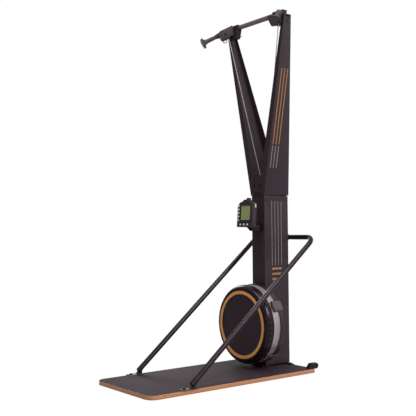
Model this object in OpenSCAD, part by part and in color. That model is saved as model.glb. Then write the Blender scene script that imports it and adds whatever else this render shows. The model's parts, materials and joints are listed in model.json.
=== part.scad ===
// Ski trainer: a wooden deck with a non-slip sheet carries a steel column, two spread arms with
// pull handles, and an air fan that the handles turn through cords and one-way drums.
// Millimetres. The user stands on the deck and faces +Y. The origin is on the floor, under the
// middle of the machine's outer box. Right-hand pieces lie at +X, left-hand ones mirror them.

/* [Deck] */
// Width of the wooden deck
deck_w = 600; // [560:5:660]
// Length of the deck from its front edge to its rear edge
deck_l = 1266; // [1220:2:1320]
// Thickness of the layered board
board_t = 24; // [20:1:30]
// Radius of the deck's two front corners
front_corner_r = 55; // [20:1:80]
// Radius of the deck's two rear corners
rear_corner_r = 12; // [6:1:20]
// Thickness of the non-slip sheet
sheet_t = 1.6; // [1:0.1:4]
// Bare board left round the sheet's edge
sheet_margin = 2; // [1:0.5:6]
// Thickness of the rubber floor pads
pad_t = 4; // [3:0.5:8]
// Radius of a floor pad
pad_r = 24; // [16:1:34]

/* [Column] */
// Width of the column's two channels
column_w = 120; // [112:2:130]
// Depth of the column from front face to rear face
column_d = 212; // [206:1:222]
// Height of the front channel's top edge above the floor
column_top = 1284; // [1270:1:1300]
// Wall of the folded steel channels
steel_t = 3; // [2.5:0.1:3.4]
// Width of a channel's side flanges
channel_flange = 27; // [22:1:32]
// Thickness of the column's foot plate
foot_plate_t = 5; // [4:0.5:8]
// Thickness of the side covers
cover_t = 1.8; // [1:0.1:2]
// Height of the side covers' lower edge above the deck
cover_lift = 12; // [6:1:20]

/* [Arms] */
// Height where the arms begin
arm_bottom = 1154; // [1148:1:1160]
// Height of the arms' top edge
arm_top = 2300; // [2280:2:2320]
// Distance from the column's side to an arm's outer face at its lower end
arm_stand = 6; // [6:0.5:8]
// Distance from the middle to an arm's outer face at its top end
arm_head_x = 288; // [280:1:296]
// Depth of an arm, front to back, at its top end
arm_head_d = 58; // [54:1:64]
// How far the arms' top end leans forward of the column's front
arm_lean = 10; // [6:1:14]
// Width of an arm's front flange at its lower end
front_flange_low = 58; // [54:1:62]
// Width of an arm's front flange at its top end
front_flange_high = 22; // [18:1:24]
// Width of an arm's rear flange at its top end
rear_flange_high = 21; // [16:1:26]
// Radius of the tube between the arms
crossbar_r = 16; // [14:0.5:18]
// Height of that tube's centre line
crossbar_z = 2313; // [2305:1:2318]

/* [Handles] */
// Sideways place of a docked handle's end disc
handle_end_x = 357; // [345:1:370]
// Distance from the column's front face forward to that disc's centre
handle_end_reach = 173; // [160:1:185]
// Height of that disc's centre
handle_end_z = 2215; // [2205:1:2225]
// Radius of the grip at its thinnest
grip_r = 14; // [12:0.5:16]
// Distance from the end disc's centre to each of its three corner centres
pommel_spread = 27; // [20:1:32]
// Radius of the end disc's three corners
pommel_corner_r = 18; // [12:1:20]
// Thickness of the handle's end disc
pommel_t = 15; // [12:1:18]

/* [Cords and pulleys] */
// Radius of the drive cords
cord_r = 3; // [2.5:0.1:3.2]
// Radius at which a cord runs round a top pulley
top_pitch_r = 18; // [16:0.5:20]
// Radius at which a cord runs round a guide pulley
guide_pitch_r = 16; // [15:0.5:18]
// Radius at which a cord runs on its drum
drum_pitch_r = 25; // [24:0.5:27]
// Radius at which a return cord runs on its drum and pulley
return_pitch_r = 17; // [16.5:0.1:18]
// Radius of a return pulley's running circle
idler_pitch_r = 14; // [13:0.5:15]
// Width of a pulley
pulley_w = 11; // [9:0.5:12]
// Radius of the pulleys' pins
pin_r = 4; // [3.5:0.1:4.5]
// Gap between a turning part and the pin or shaft it runs on
run_gap = 0.05; // [0.02:0.01:0.08]
// Gap between parts that lie close without touching
fit_gap = 0.3; // [0.2:0.05:0.5]

/* [Fan] */
// Height of the fan's shaft above the floor
fan_z = 313; // [310:1:330]
// Outer radius of the fan's casing
fan_r = 253; // [246:1:262]
// Distance from the column's front face to the fan's front
fan_reach = 157; // [150:1:170]
// Outer radius of the coloured ring
ring_r = 220; // [212:1:224]
// Width of the coloured ring
ring_w = 25; // [18:1:30]
// Width of the perforated band round the fan
cage_w = 55; // [48:1:60]
// Radius of the fan's shaft
shaft_r = 8; // [7:0.5:8.5]
// Number of blades on the fan wheel
blade_count = 24; // [16:1:30]

/* [Brace] */
// Radius of the bracing tube
brace_r = 16; // [14:0.5:17]
// Distance from the deck's side edge to the middle of a brace leg
brace_inset = 17; // [14:1:22]
// Distance from the deck's front edge to the legs' fixing pins
brace_foot_y = 308; // [280:2:340]
// Height of the brace's rear bar
brace_top_z = 874; // [850:2:900]
// Bend radius of the brace at its upper corners
brace_bend_r = 66; // [55:1:80]

/* [Monitor] */
// Width of the monitor's case
case_w = 150; // [146:1:160]
// Height of the monitor's case
case_h = 170; // [166:1:180]
// Thickness of the monitor's case
case_d = 36; // [32:1:42]
// Height of the case's lower edge above the floor
case_z = 946; // [940:1:960]
// Distance from the column's front face to the case's front face
case_reach = 122; // [116:1:130]
// Backward tilt of the monitor at rest, in degrees
case_tilt = 4.5; // [0:0.5:8]
// Radius of a push button
button_r = 5; // [4:0.5:6]
// Travel of a push button
button_travel = 1.5; // [1:0.1:2]

/* [Transport wheels] */
// Radius of a transport wheel
wheel_r = 20; // [18:1:22]
// Width of a transport wheel
wheel_w = 22; // [18:1:26]
// Height of a transport wheel's axle above the floor
wheel_z = 44; // [40:1:48]

/* [Hidden] */
$fn = 64;
black = [0.13, 0.12, 0.125];
dark_grey = [0.24, 0.225, 0.235];
cover_grey = [0.33, 0.31, 0.32];
bar_grey = [0.48, 0.46, 0.45];
metal = [0.62, 0.6, 0.58];
orange = [0.76, 0.5, 0.27];

// Vector helpers
function unit(v) = v / norm(v);
function flip_x(p) = [-p[0], p[1], p[2]];
function mix(a, b, t) = a + (b - a) * t;

// Deck and the machine's outer box
wheel_out = wheel_r + 1;
brace_gap = 7;
bolt_head_h = 7;
rear_reach = max(deck_l + wheel_out + wheel_r, deck_l + brace_gap + 2 * brace_r);
deck_front = -rear_reach / 2;
deck_rear = deck_front + deck_l;
board_z = pad_t;
sheet_z = board_z + board_t;
deck_top = sheet_z + sheet_t;

// Column
col_rear = deck_rear;
col_front = col_rear - column_d;
col_half = column_w / 2;
col_base = deck_top + foot_plate_t;
rear_channel_top = arm_bottom - 4;
cover_low = deck_top + cover_lift;
cover_high = rear_channel_top;
tie_zs = [130, 600, 1010];
tie_h = 55;
plate_front = col_front - 30;
ear_x = 88;
ear_half = 16;
ear_inset = 17;
base_bolt_x = 46;
base_bolt_y = plate_front + 14;
shell_inset = 0.5;

// Arms
arm_foot_x = col_half + arm_stand;
arm_rise = arm_top - arm_bottom;
arm_angle = atan((arm_head_x - arm_foot_x) / arm_rise);
arm_fy = col_front - steel_t - fit_gap;
arm_by = col_rear + steel_t + fit_gap;
arm_head_fy = arm_fy - arm_lean;
arm_head_by = arm_head_fy + arm_head_d;
function arm_x(z) = mix(arm_foot_x, arm_head_x, (z - arm_bottom) / arm_rise);
function arm_front_y(z) = mix(arm_fy, arm_head_fy, (z - arm_bottom) / arm_rise);
function arm_back_y(z) = mix(arm_by, arm_head_by, (z - arm_bottom) / arm_rise);
function front_flange(z) = mix(front_flange_low, front_flange_high, (z - arm_bottom) / arm_rise);
function arm_edge_x(z) = arm_x(z) - front_flange(z);
seam_half = 0.6;
tab_top = 1216;
tab_corner = [34, 1249];
arm_bolt_spots = [[30, 1220], [17, 1165]];
rear_bolt_spot = [24, 1192];
rear_slope = atan((arm_by - arm_head_by) / arm_rise);
rear_bolt_run = (rear_bolt_spot[0] - arm_foot_x) * sin(arm_angle)
    + (rear_bolt_spot[1] - arm_bottom) * cos(arm_angle);
rear_bolt_y = arm_back_y(arm_bottom + rear_bolt_run * cos(arm_angle));
arm_bolt_r = 4;
web_hole_z = 2252;
web_hole_y = mix(arm_front_y(web_hole_z), arm_back_y(web_hole_z), 0.5);
web_slot_z = 2288;
head_bolt_r = 5;
head_rise = 18;
head_top = crossbar_z + head_rise;
bar_y = mix(arm_head_fy, arm_head_by, 0.48);
bar_half = 200;
head_front_y = arm_head_fy - 0.4;
head_back_y = arm_head_by - steel_t - 6;
web_slot_y = mix(arm_front_y(web_slot_z), arm_back_y(web_slot_z), 0.5);
web_slot_r = 4;
arm_over = 90;
function arm_run(z) = (z - arm_bottom) / cos(arm_angle);
head_low = 2238;
head_wall = 5;
top_bolt_x = 224;
peg_z = 2250;
function head_side_x(z) = arm_edge_x(z) - 2;

// Route of a drive cord on the right: corner in the head, foot of the visible run, then the column
cord_corner = [262, arm_head_fy - 20, 2298];
cord_foot = [30, col_front + 52, 1286];
handle_end = [handle_end_x, col_front - handle_end_reach, handle_end_z];
up_dir = unit(cord_corner - cord_foot);
out_dir = unit(handle_end - cord_corner);
right_drum_y = col_front + steel_t + 46;
left_drum_y = right_drum_y + 82;
right_turn = cord_foot - up_dir * ((cord_foot[0] - drum_pitch_r) / up_dir[0]);
left_turn = flip_x(cord_foot - up_dir * ((cord_foot[0] + drum_pitch_r) / up_dir[0]));
winding_out = drum_pitch_r + cord_r;
cord_low_z = fan_z + sqrt(pow(winding_out, 2) - pow(drum_pitch_r - cord_r, 2)) + 1;
right_cord_end = [drum_pitch_r, right_drum_y, cord_low_z];
left_cord_end = [drum_pitch_r, left_drum_y, cord_low_z];

// A round turn of radius r at corner c between points a and b
function turn_half(a, c, b) = acos(unit(a - c) * unit(b - c)) / 2;
function turn_centre(a, c, b, r) =
    c + unit(unit(a - c) + unit(b - c)) * r / sin(turn_half(a, c, b));
function turn_axis(a, c, b) = unit(cross(unit(a - c), unit(b - c)));
function turn_start(a, c, b, r) = c + unit(a - c) * r / tan(turn_half(a, c, b));
function spin(v, axis, deg) =
    v * cos(deg) + cross(axis, v) * sin(deg) + axis * (axis * v) * (1 - cos(deg));
function turn_points(a, c, b, r, steps) = let (
    o = turn_centre(a, c, b, r), axis = turn_axis(a, c, b), v = turn_start(a, c, b, r) - o,
    sweep = 180 - 2 * turn_half(a, c, b), way = cross(v, c - o) * axis > 0 ? 1 : -1
) [for (i = [0 : steps]) o + spin(v, axis, way * sweep * i / steps)];

// Pulley housing, in a frame with X along the docked handle and Y along the pulley's pin
head_pulley = turn_centre(handle_end, cord_corner, cord_foot, top_pitch_r);
head_yaw = atan2(out_dir[1], out_dir[0]);
head_pitch = -asin(out_dir[2]);
side_dir = [-sin(head_yaw), cos(head_yaw), 0];
lift_dir = [cos(head_yaw) * sin(head_pitch), sin(head_yaw) * sin(head_pitch), cos(head_pitch)];
head_roll = -atan((side_dir * up_dir) / (lift_dir * up_dir));
housing_nose = 46;
housing_neck = 12;
housing_half = 19;
housing_round = 46;
loop_r = 14;
loop_wire = 2.5;
housing_low = -32;
housing_high = 37;
pulley_out_r = top_pitch_r + 4;
handle_start = housing_nose + housing_neck + fit_gap;
handle_len = norm(handle_end - cord_corner) - top_pitch_r / tan(turn_half(handle_end, cord_corner, cord_foot));

// Drums and return cords
drum_flange_r = 32;
drum_flange_t = 2.5;
drum_wind_w = 56;
drum_return_w = 16;
clutch_r = 11;
clutch_w = 16;
return_z = 925;
return_end_z = 80;
return_offset = drum_wind_w / 2 + drum_flange_t + drum_return_w / 2;
return_x = -return_pitch_r - idler_pitch_r;
return_rise = sqrt(pow(return_pitch_r + cord_r, 2) - pow(return_pitch_r - cord_r, 2)) + 1;
bearing_w = 12;

// Fan
fan_front = col_front - fan_reach;
fan_bore = 12;
ring_in = ring_r - ring_w;
ring_t = 3;
cone_wall = 3;
rim_r = fan_r + 2;
clamp_angles = [30, -48];
clamp_sink = 10;
cone_end = fan_front + 58;
cage_end = cone_end + cage_w;
fan_back = col_front - 14;
rotor_front = fan_front + 34;
rotor_back = cage_end - 4;
rotor_r = fan_r - 16;
shaft_front = rotor_front + 18;
shaft_back = col_rear - steel_t - 1;

// Brace
brace_rear_y = col_rear + brace_gap + brace_r;
brace_x = deck_w / 2 - brace_inset;
brace_pin = [brace_x, deck_front + brace_foot_y, deck_top + 34];
brace_slope = atan2(brace_top_z - brace_pin[2], brace_rear_y - brace_pin[1]);
brace_leg = norm([brace_top_z - brace_pin[2], brace_rear_y - brace_pin[1]]);
brace_below_pin = 20;
foot_t = 4;
lug_t = 5;
lug_r = 12;
lug_back = 34;
foot_w = 48;
foot_heel = 22;
bore_reach = 40;
brace_bolt_x = 26;

// Monitor
case_front_y = col_front - case_reach;
bezel_t = 12;
case_wall = 2.5;
hinge_back = 13;
hinge_up = 8;
hinge_r = 4;
hinge_y = case_front_y + (case_d + hinge_back) * cos(case_tilt) + hinge_up * sin(case_tilt);
hinge_z = case_z - (case_d + hinge_back) * sin(case_tilt) + hinge_up * cos(case_tilt);
ear_r = 10;
arm_half_w = 28;
lcd_w = 92;
lcd_h = 95;
lcd_x = 6;
lcd_low = 44;
button_gap = 0.3;
button_stand = 2.2;
button_col_x = -61;
button_row_z = 15;
button_spots = [for (i = [0 : 4]) [button_col_x, 45 + 23 * i], for (i = [0 : 2]) [-38 + 35 * i, button_row_z]];

// Deck fixings: sideways place, place along the deck, thickness of what the bolt clamps
deck_bolt_r = 4.5;
deck_nut_h = 8;
foot_bolt_y = deck_front + 238;
wheel_bolt_y = deck_rear - 24;
wheel_inset = 26;
wheel_x = deck_w / 2 - wheel_inset;
wheel_plate_t = 3;
wheel_ear_r = wheel_r - 2;
axle_y = deck_rear + wheel_out;
deck_bolt_spots = [for (s = [-1, 1]) each [
    [s * base_bolt_x, base_bolt_y, foot_plate_t],
    [s * ear_x, deck_rear - ear_inset, foot_plate_t],
    [s * brace_x, foot_bolt_y, foot_t],
    [s * wheel_x, wheel_bolt_y, wheel_plate_t]
]];
pad_spots = [for (x = [-0.38, 0.38]) for (y = [0.08, 0.5, 0.93]) [x * deck_w, deck_front + y * deck_l]];
screw_zs = [104, 424, 739, 1119];
screw_inset = 11;
screw_r = 2;
monitor_screw_x = 33;

// Shapes used by several parts
module along_x() rotate([0, 90, 0]) children();
module along_y() rotate([-90, 0, 0]) children();
module both_sides() {
    children();
    mirror([1, 0, 0]) children();
}
module at_axis(place, axis) {
    translate(place) rotate([0, acos(axis[2]), atan2(axis[1], axis[0])]) children();
}
module sheet_in_xz(y_low, y_high) {
    translate([0, y_high, 0]) rotate([90, 0, 0]) linear_extrude(y_high - y_low) children();
}
module sheet_in_yz(x_low, x_high) {
    translate([x_low, 0, 0]) rotate([90, 0, 90]) linear_extrude(x_high - x_low) children();
}
module ring(r_out, r_in, h) {
    difference() {
        cylinder(r = r_out, h = h);
        translate([0, 0, -1]) cylinder(r = r_in, h = h + 2);
    }
}
module deck_outline(w, l, rf, rr) {
    polygon([
        [rf - w / 2, 0], [w / 2 - rf, 0], [w / 2, rf], [w / 2, l - rr],
        [w / 2 - rr, l], [rr - w / 2, l], [-w / 2, l - rr], [-w / 2, rf]
    ]);
    for (s = [-1, 1]) {
        translate([s * (w / 2 - rf), rf]) circle(r = rf);
        translate([s * (w / 2 - rr), l - rr]) circle(r = rr);
    }
}
module deck_bolt_holes(z, h) {
    for (b = deck_bolt_spots) translate([b[0], b[1], z]) cylinder(r = deck_bolt_r + fit_gap, h = h);
}

module platform_board() color([0.72, 0.5, 0.33]) difference() {
    translate([0, deck_front, board_z]) linear_extrude(board_t)
        deck_outline(deck_w, deck_l, front_corner_r, rear_corner_r);
    deck_bolt_holes(board_z - 1, board_t + 2);
    for (b = deck_bolt_spots) {
        translate([b[0], b[1], board_z - 1]) cylinder(r = 2.6 * deck_bolt_r, h = deck_nut_h + 3);
    }
}
module grip_sheet() color(dark_grey) difference() {
    translate([0, deck_front + sheet_margin, sheet_z]) linear_extrude(sheet_t)
        deck_outline(deck_w - 2 * sheet_margin, deck_l - 2 * sheet_margin,
            front_corner_r - sheet_margin, rear_corner_r - sheet_margin);
    deck_bolt_holes(sheet_z - 1, sheet_t + 2);
}
module floor_pads() color(black) for (p = pad_spots) {
    translate([p[0], p[1], 0]) cylinder(r = pad_r, h = pad_t);
}

// Column
module side_screw_holes() {
    for (y = [col_front + screw_inset, col_rear - screw_inset]) for (z = screw_zs) {
        translate([-column_w, y, z]) along_x() cylinder(r = screw_r + 0.2, h = 2 * column_w);
    }
}
module column_front() color(dark_grey) difference() {
    union() {
        translate([-col_half, col_front, col_base]) cube([column_w, steel_t, column_top - col_base]);
        for (x = [-col_half, col_half - steel_t]) {
            translate([x, col_front, col_base])
                cube([steel_t, steel_t + channel_flange, column_top - col_base]);
        }
    }
    both_sides() for (b = arm_bolt_spots) {
        translate([b[0], col_front - 1, b[1]]) along_y() cylinder(r = arm_bolt_r + 0.4, h = steel_t + 2);
    }
    both_sides() translate([monitor_screw_x, col_front - 1, hinge_z - 12]) along_y()
        cylinder(r = screw_r + 0.2, h = steel_t + 2);
    translate([0, col_front - 1, fan_z]) along_y() cylinder(r = fan_bore, h = steel_t + 2);
    side_screw_holes();
}
module at_rear_bolt() translate([rear_bolt_spot[0], rear_bolt_y, rear_bolt_spot[1]])
    rotate([rear_slope - 90, 0, 0]) children();
module at_rear_bolts() both_sides() at_rear_bolt() children();
module splice_plate() {
    inner = col_rear - steel_t;
    bend_z = arm_bottom + steel_t / tan(rear_slope);
    end_z = arm_bottom + 62;
    end_y = arm_back_y(end_z) - steel_t - fit_gap;
    sheet_in_yz(8 - col_half, col_half - 8) polygon([
        [inner, arm_bottom - 70], [inner, bend_z], [end_y, end_z],
        [end_y - steel_t, end_z], [inner - steel_t, bend_z], [inner - steel_t, arm_bottom - 70]
    ]);
}
module column_rear() color(dark_grey) difference() {
    union() {
        translate([-col_half, col_rear - steel_t, col_base])
            cube([column_w, steel_t, rear_channel_top - col_base]);
        for (x = [-col_half, col_half - steel_t]) {
            translate([x, col_rear - steel_t - channel_flange, col_base])
                cube([steel_t, steel_t + channel_flange, rear_channel_top - col_base]);
        }
        both_sides() for (z = tie_zs) {
            translate([col_half - 2 * steel_t, col_front + steel_t, z])
                cube([steel_t, column_d - 2 * steel_t, tie_h]);
        }
        splice_plate();
        translate([-42, col_rear - steel_t, brace_top_z - 22])
            cube([84, steel_t + brace_gap + brace_r, 44]);
    }
    translate([-60, brace_rear_y, brace_top_z]) along_x() cylinder(r = brace_r + run_gap, h = 120);
    both_sides() translate([brace_bolt_x, col_rear - 30, brace_top_z]) along_y()
        cylinder(r = pin_r + 0.4, h = 60);
    at_rear_bolts() translate([0, 0, -20]) cylinder(r = arm_bolt_r + 0.4, h = 30);
    side_screw_holes();
}
module base_plate() color(black) difference() {
    union() {
        translate([-col_half - 2, plate_front, deck_top])
            cube([column_w + 4, col_rear - plate_front, foot_plate_t]);
        translate([-ear_x - ear_half, col_rear - 2 * ear_half - 2, deck_top])
            cube([2 * (ear_x + ear_half), 2 * ear_half + 2, foot_plate_t]);
        for (y = [right_drum_y, left_drum_y]) {
            translate([return_x - idler_pitch_r, y + return_offset, deck_top])
                cylinder(r = 2 * cord_r, h = return_end_z - deck_top);
        }
    }
    deck_bolt_holes(deck_top - 1, foot_plate_t + 2);
}
module side_cover() color(cover_grey) difference() {
    translate([col_half, col_front + shell_inset, cover_low])
        cube([cover_t, column_d - 2 * shell_inset, cover_high - cover_low]);
    side_screw_holes();
}
module right_side_cover() side_cover();
module left_side_cover() mirror([1, 0, 0]) side_cover();
module side_cover_screws() color(black) both_sides()
    for (y = [col_front + screw_inset, col_rear - screw_inset]) for (z = screw_zs) {
        translate([col_half + cover_t, y, z]) along_x() cylinder(r = 2 * screw_r, h = 1.8);
        translate([col_half - steel_t - 2, y, z]) along_x()
            cylinder(r = screw_r, h = steel_t + cover_t + 3);
    }

// Arms
module arm_frame() translate([arm_foot_x, 0, arm_bottom]) rotate([0, arm_angle, 0]) children();
module arm_wedge(inset, x_low, x_high) {
    low = arm_bottom - arm_over;
    high = arm_top + arm_over;
    arm_frame() sheet_in_yz(x_low, x_high) polygon([
        [arm_front_y(low) + inset, arm_run(low)], [arm_back_y(low) - inset, arm_run(low)],
        [arm_back_y(high) - inset, arm_run(high)], [arm_front_y(high) + inset, arm_run(high)]
    ]);
}
module arm() color(dark_grey) {
    split_y = col_front + 20;
    edge_z = tab_corner[1] + 41;
    rear_edge_x = arm_x(arm_top) - rear_flange_high;
    outer = [[arm_x(arm_top) + 5, arm_top], [arm_x(arm_bottom) + 5, arm_bottom]];
    difference() {
        intersection() {
            difference() {
                arm_wedge(0, -arm_over, 0);
                arm_wedge(steel_t, -arm_over - 1, -steel_t);
            }
            union() {
                sheet_in_xz(arm_head_fy - 5, split_y) polygon(concat([
                    [seam_half, arm_bottom], [seam_half, tab_top], tab_corner,
                    [arm_edge_x(edge_z), edge_z], [arm_edge_x(arm_top), arm_top]
                ], outer));
                sheet_in_xz(split_y, arm_by + 5) polygon(concat([
                    [seam_half, arm_bottom], [seam_half, arm_bottom + 28], [rear_edge_x, arm_top]
                ], outer));
            }
        }
        for (b = arm_bolt_spots) {
            translate([b[0], col_front - 30, b[1]]) along_y() cylinder(r = arm_bolt_r + 0.4, h = 60);
        }
        at_rear_bolts() translate([0, 0, -20]) cylinder(r = arm_bolt_r + 0.4, h = 30);
        arm_frame() translate([-8, web_hole_y, arm_run(web_hole_z)]) along_x()
            cylinder(r = head_bolt_r + 1.2, h = 16);
        arm_frame() for (y = [web_slot_y - 14, web_slot_y + 14]) {
            translate([-8, y, arm_run(web_slot_z)]) along_x() cylinder(r = web_slot_r, h = 16);
        }
        arm_frame() translate([-8, web_slot_y - 14, arm_run(web_slot_z) - web_slot_r])
            cube([16, 28, 2 * web_slot_r]);
    }
}
module right_arm() arm();
module left_arm() mirror([1, 0, 0]) arm();
module crossbar() color(bar_grey) translate([-bar_half, bar_y, crossbar_z]) along_x()
    ring(crossbar_r, crossbar_r - 2.5, 2 * bar_half);

// Arm heads
module head_outline(inset) polygon([
    [163 + inset, crossbar_z - 1], [165 + inset, head_top - inset],
    [head_side_x(head_top) - inset, head_top - inset], [head_side_x(head_low) - inset, head_low + inset],
    [186 + inset, head_low + inset], [178 + inset, head_low + 24]
]);
module arm_head() color(black) difference() {
    union() {
        difference() {
            sheet_in_xz(head_front_y, head_back_y) head_outline(0);
            sheet_in_xz(head_front_y + head_wall, head_back_y + 1) head_outline(head_wall);
        }
        translate([166, bar_y, crossbar_z]) along_x()
            cylinder(r = crossbar_r + 4, h = bar_half + 4 - 166);
        arm_frame() translate([-38, web_hole_y, arm_run(web_hole_z)]) along_x()
            cylinder(r = 2 * head_bolt_r, h = 38 - steel_t - fit_gap);
    }
    translate([150, bar_y, crossbar_z]) along_x() cylinder(r = crossbar_r + run_gap, h = bar_half - 150);
    arm_frame() translate([-60, web_hole_y, arm_run(web_hole_z)]) along_x()
        cylinder(r = arm_bolt_r + 0.4, h = 60);
    translate([top_bolt_x, bar_y, head_top - 20]) cylinder(r = arm_bolt_r + 0.4, h = 30);
    translate([150, bar_y, peg_z]) along_x() cylinder(r = 3.3, h = 60);
}
module right_arm_head() arm_head();
module left_arm_head() mirror([1, 0, 0]) arm_head();
module arm_bolts() color(black) both_sides() {
    for (b = arm_bolt_spots) {
        translate([b[0], arm_front_y(b[1]) - 4.6, b[1]]) along_y() cylinder(r = 7, h = 4.5);
        translate([b[0], arm_front_y(b[1]) - 1, b[1]]) along_y() cylinder(r = arm_bolt_r, h = 17);
        translate([b[0], col_front + steel_t, b[1]]) along_y() ring(7.5, arm_bolt_r - 0.5, 6);
    }
    at_rear_bolt() {
        translate([0, 0, 0.35]) cylinder(r = 7, h = 4.5);
        translate([0, 0, -16]) cylinder(r = arm_bolt_r, h = 18);
        translate([0, 0, -2 * steel_t - 9]) ring(7.5, arm_bolt_r - 0.5, 6);
    }
    arm_frame() translate([-30, web_hole_y, arm_run(web_hole_z)]) along_x() {
        cylinder(r = arm_bolt_r, h = 29);
        translate([0, 0, 30 - steel_t]) cylinder(r = head_bolt_r + 0.9, h = steel_t - 0.5);
    }
    translate([top_bolt_x, bar_y, head_top]) cylinder(r = 6, h = 6);
    translate([top_bolt_x, bar_y, head_top - 14]) cylinder(r = arm_bolt_r, h = 16);
    translate([168, bar_y, peg_z]) along_x() cylinder(r = 3, h = 26);
}

// Pulley housings, pulleys and their pins
module in_head_frame() translate(head_pulley) rotate([head_roll, head_pitch, head_yaw]) children();
module across(h) translate([0, h / 2, 0]) rotate([90, 0, 0]) children();
module housing_body() {
    intersection() {
        translate([-80, -housing_half, housing_low])
            cube([80 + housing_nose, 2 * housing_half, housing_high - housing_low]);
        union() {
            across(100) cylinder(r = housing_round, h = 100);
            translate([-80, -50, -50]) cube([80, 100, 100]);
        }
    }
    translate([housing_nose - 14, 0, top_pitch_r]) along_x()
        cylinder(r1 = housing_half, r2 = grip_r + 2.5, h = 14 + housing_neck);
}
module pulley_housing() color(cover_grey) intersection() {
    translate([0, head_front_y - 300, head_low - 100]) cube([600, 300, 300]);
    in_head_frame() difference() {
        housing_body();
        across(pulley_w + 2) cylinder(r = pulley_out_r + 2, h = pulley_w + 2);
        translate([-pulley_out_r - 2, -pulley_w / 2 - 1, -80]) cube([30, pulley_w + 2, 80]);
        translate([0, 0, top_pitch_r]) along_x() cylinder(r = cord_r + 1.5, h = 100);
        across(100) cylinder(r = pin_r + 0.1, h = 100);
    }
}
module right_pulley_housing() pulley_housing();
module left_pulley_housing() mirror([1, 0, 0]) pulley_housing();
module guard_loops() color(black) both_sides() in_head_frame() difference() {
    translate([23, 0, housing_low - 6]) union() {
        rotate([-90, 0, 0]) rotate_extrude(angle = 180) translate([loop_r, 0]) circle(r = loop_wire);
        for (x = [-loop_r, loop_r]) translate([x, 0, 0]) cylinder(r = loop_wire, h = 22);
    }
    housing_body();
}
module top_pulley_pins() color(metal) both_sides() in_head_frame() {
    across(2 * housing_half + 8) cylinder(r = pin_r, h = 2 * housing_half + 8);
    across(2 * housing_half + 8) cylinder(r = 2 * pin_r, h = 3.8);
    across(-2 * housing_half - 0.4) cylinder(r = 2 * pin_r, h = 3.8);
}
module pulley(pitch_r, r_cord) difference() {
    translate([0, 0, -pulley_w / 2]) cylinder(r = pitch_r + 4, h = pulley_w);
    rotate_extrude() translate([pitch_r, 0]) circle(r = r_cord + fit_gap);
    rotate_extrude() translate([pitch_r, -r_cord - fit_gap]) square([20, 2 * (r_cord + fit_gap)]);
    translate([0, 0, -pulley_w]) cylinder(r = pin_r + run_gap, h = 2 * pulley_w);
}
module top_pulley() color(metal) in_head_frame() rotate([90, 0, 0]) pulley(top_pitch_r, cord_r);
module right_top_pulley() top_pulley();
module left_top_pulley() mirror([1, 0, 0]) top_pulley();

right_guide = turn_centre(cord_corner, right_turn, right_cord_end, guide_pitch_r);
right_guide_axis = turn_axis(cord_corner, right_turn, right_cord_end);
left_guide = turn_centre(flip_x(cord_corner), left_turn, left_cord_end, guide_pitch_r);
left_guide_axis = turn_axis(flip_x(cord_corner), left_turn, left_cord_end);
function forward(axis) = axis[1] > 0 ? -axis : axis;
module right_guide_pulley() color(metal) at_axis(right_guide, right_guide_axis)
    pulley(guide_pitch_r, cord_r);
module left_guide_pulley() color(metal) at_axis(left_guide, left_guide_axis)
    pulley(guide_pitch_r, cord_r);
module guide_bracket(place, axis) {
    half = pulley_w / 2 + fit_gap;
    intersection() {
        at_axis(place, forward(axis)) {
            translate([0, 0, half]) cylinder(r = 8, h = 90);
            translate([0, 0, -half - 3]) cylinder(r = pin_r, h = 2 * half + 4);
            translate([0, 0, -half - 3]) cylinder(r = 7, h = 3);
        }
        translate([-200, col_front + steel_t, 0]) cube([400, 200, 2 * arm_top]);
    }
}
module return_stud(length) {
    half = pulley_w / 2 + fit_gap;
    translate([0, 0, half]) cylinder(r = 8, h = length - half);
    translate([0, 0, -half - 3]) cylinder(r = pin_r, h = 2 * half + 4);
    translate([0, 0, -half - 3]) cylinder(r = 7, h = 3);
}
module guide_pulley_brackets() color(metal) {
    front_y = right_drum_y + return_offset;
    rear_y = left_drum_y + return_offset;
    guide_bracket(right_guide, right_guide_axis);
    guide_bracket(left_guide, left_guide_axis);
    translate([return_x, front_y, return_z]) rotate([90, 0, 0]) return_stud(front_y - col_front - steel_t);
    translate([return_x, rear_y, return_z]) along_y() return_stud(col_rear - steel_t - rear_y);
}

// Cords, swept along their points with rings of flat sides
function tangent(p, i) = unit(p[min(i + 1, len(p) - 1)] - p[max(i - 1, 0)]);
module cord(p, r, ref, sides = 8) {
    rings = [for (i = [0 : len(p) - 1]) let (
        t = tangent(p, i), u = unit(cross(ref, t)), v = cross(t, u)
    ) for (k = [0 : sides - 1]) p[i] + r * (u * cos(360 * k / sides) + v * sin(360 * k / sides))];
    last = (len(p) - 1) * sides;
    polyhedron(points = rings, faces = concat(
        [[for (k = [0 : sides - 1]) k]],
        [for (i = [0 : len(p) - 2]) for (k = [0 : sides - 1]) let (
            a = i * sides + k, b = i * sides + (k + 1) % sides
        ) each [[a, a + sides, b], [b, a + sides, b + sides]]],
        [[for (k = [sides - 1 : -1 : 0]) last + k]]
    ));
}
function drive_route(side, turn, low) = let (
    far = side > 0 ? handle_end : flip_x(handle_end),
    top = side > 0 ? cord_corner : flip_x(cord_corner),
    way = unit(far - top),
    over = turn_points(far, top, turn, top_pitch_r, 8)
) concat(
    [over[0] + way * (housing_nose + housing_neck)], over,
    turn_points(top, turn, low, guide_pitch_r, 4), [low]
);
head_side = cross(out_dir, up_dir);
module right_drive_cord() color([0.8, 0.78, 0.74])
    cord(drive_route(1, right_turn, right_cord_end), cord_r, unit(head_side));
module left_drive_cord() color([0.8, 0.78, 0.74])
    cord(drive_route(-1, left_turn, left_cord_end), cord_r, unit(flip_x(head_side)));
function return_route(y) = concat(
    [[-return_pitch_r, y, fan_z + return_rise]],
    [for (i = [0 : 8]) [return_x + idler_pitch_r * cos(22.5 * i), y, return_z + idler_pitch_r * sin(22.5 * i)]],
    [[return_x - idler_pitch_r, y, return_end_z]]
);
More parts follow.
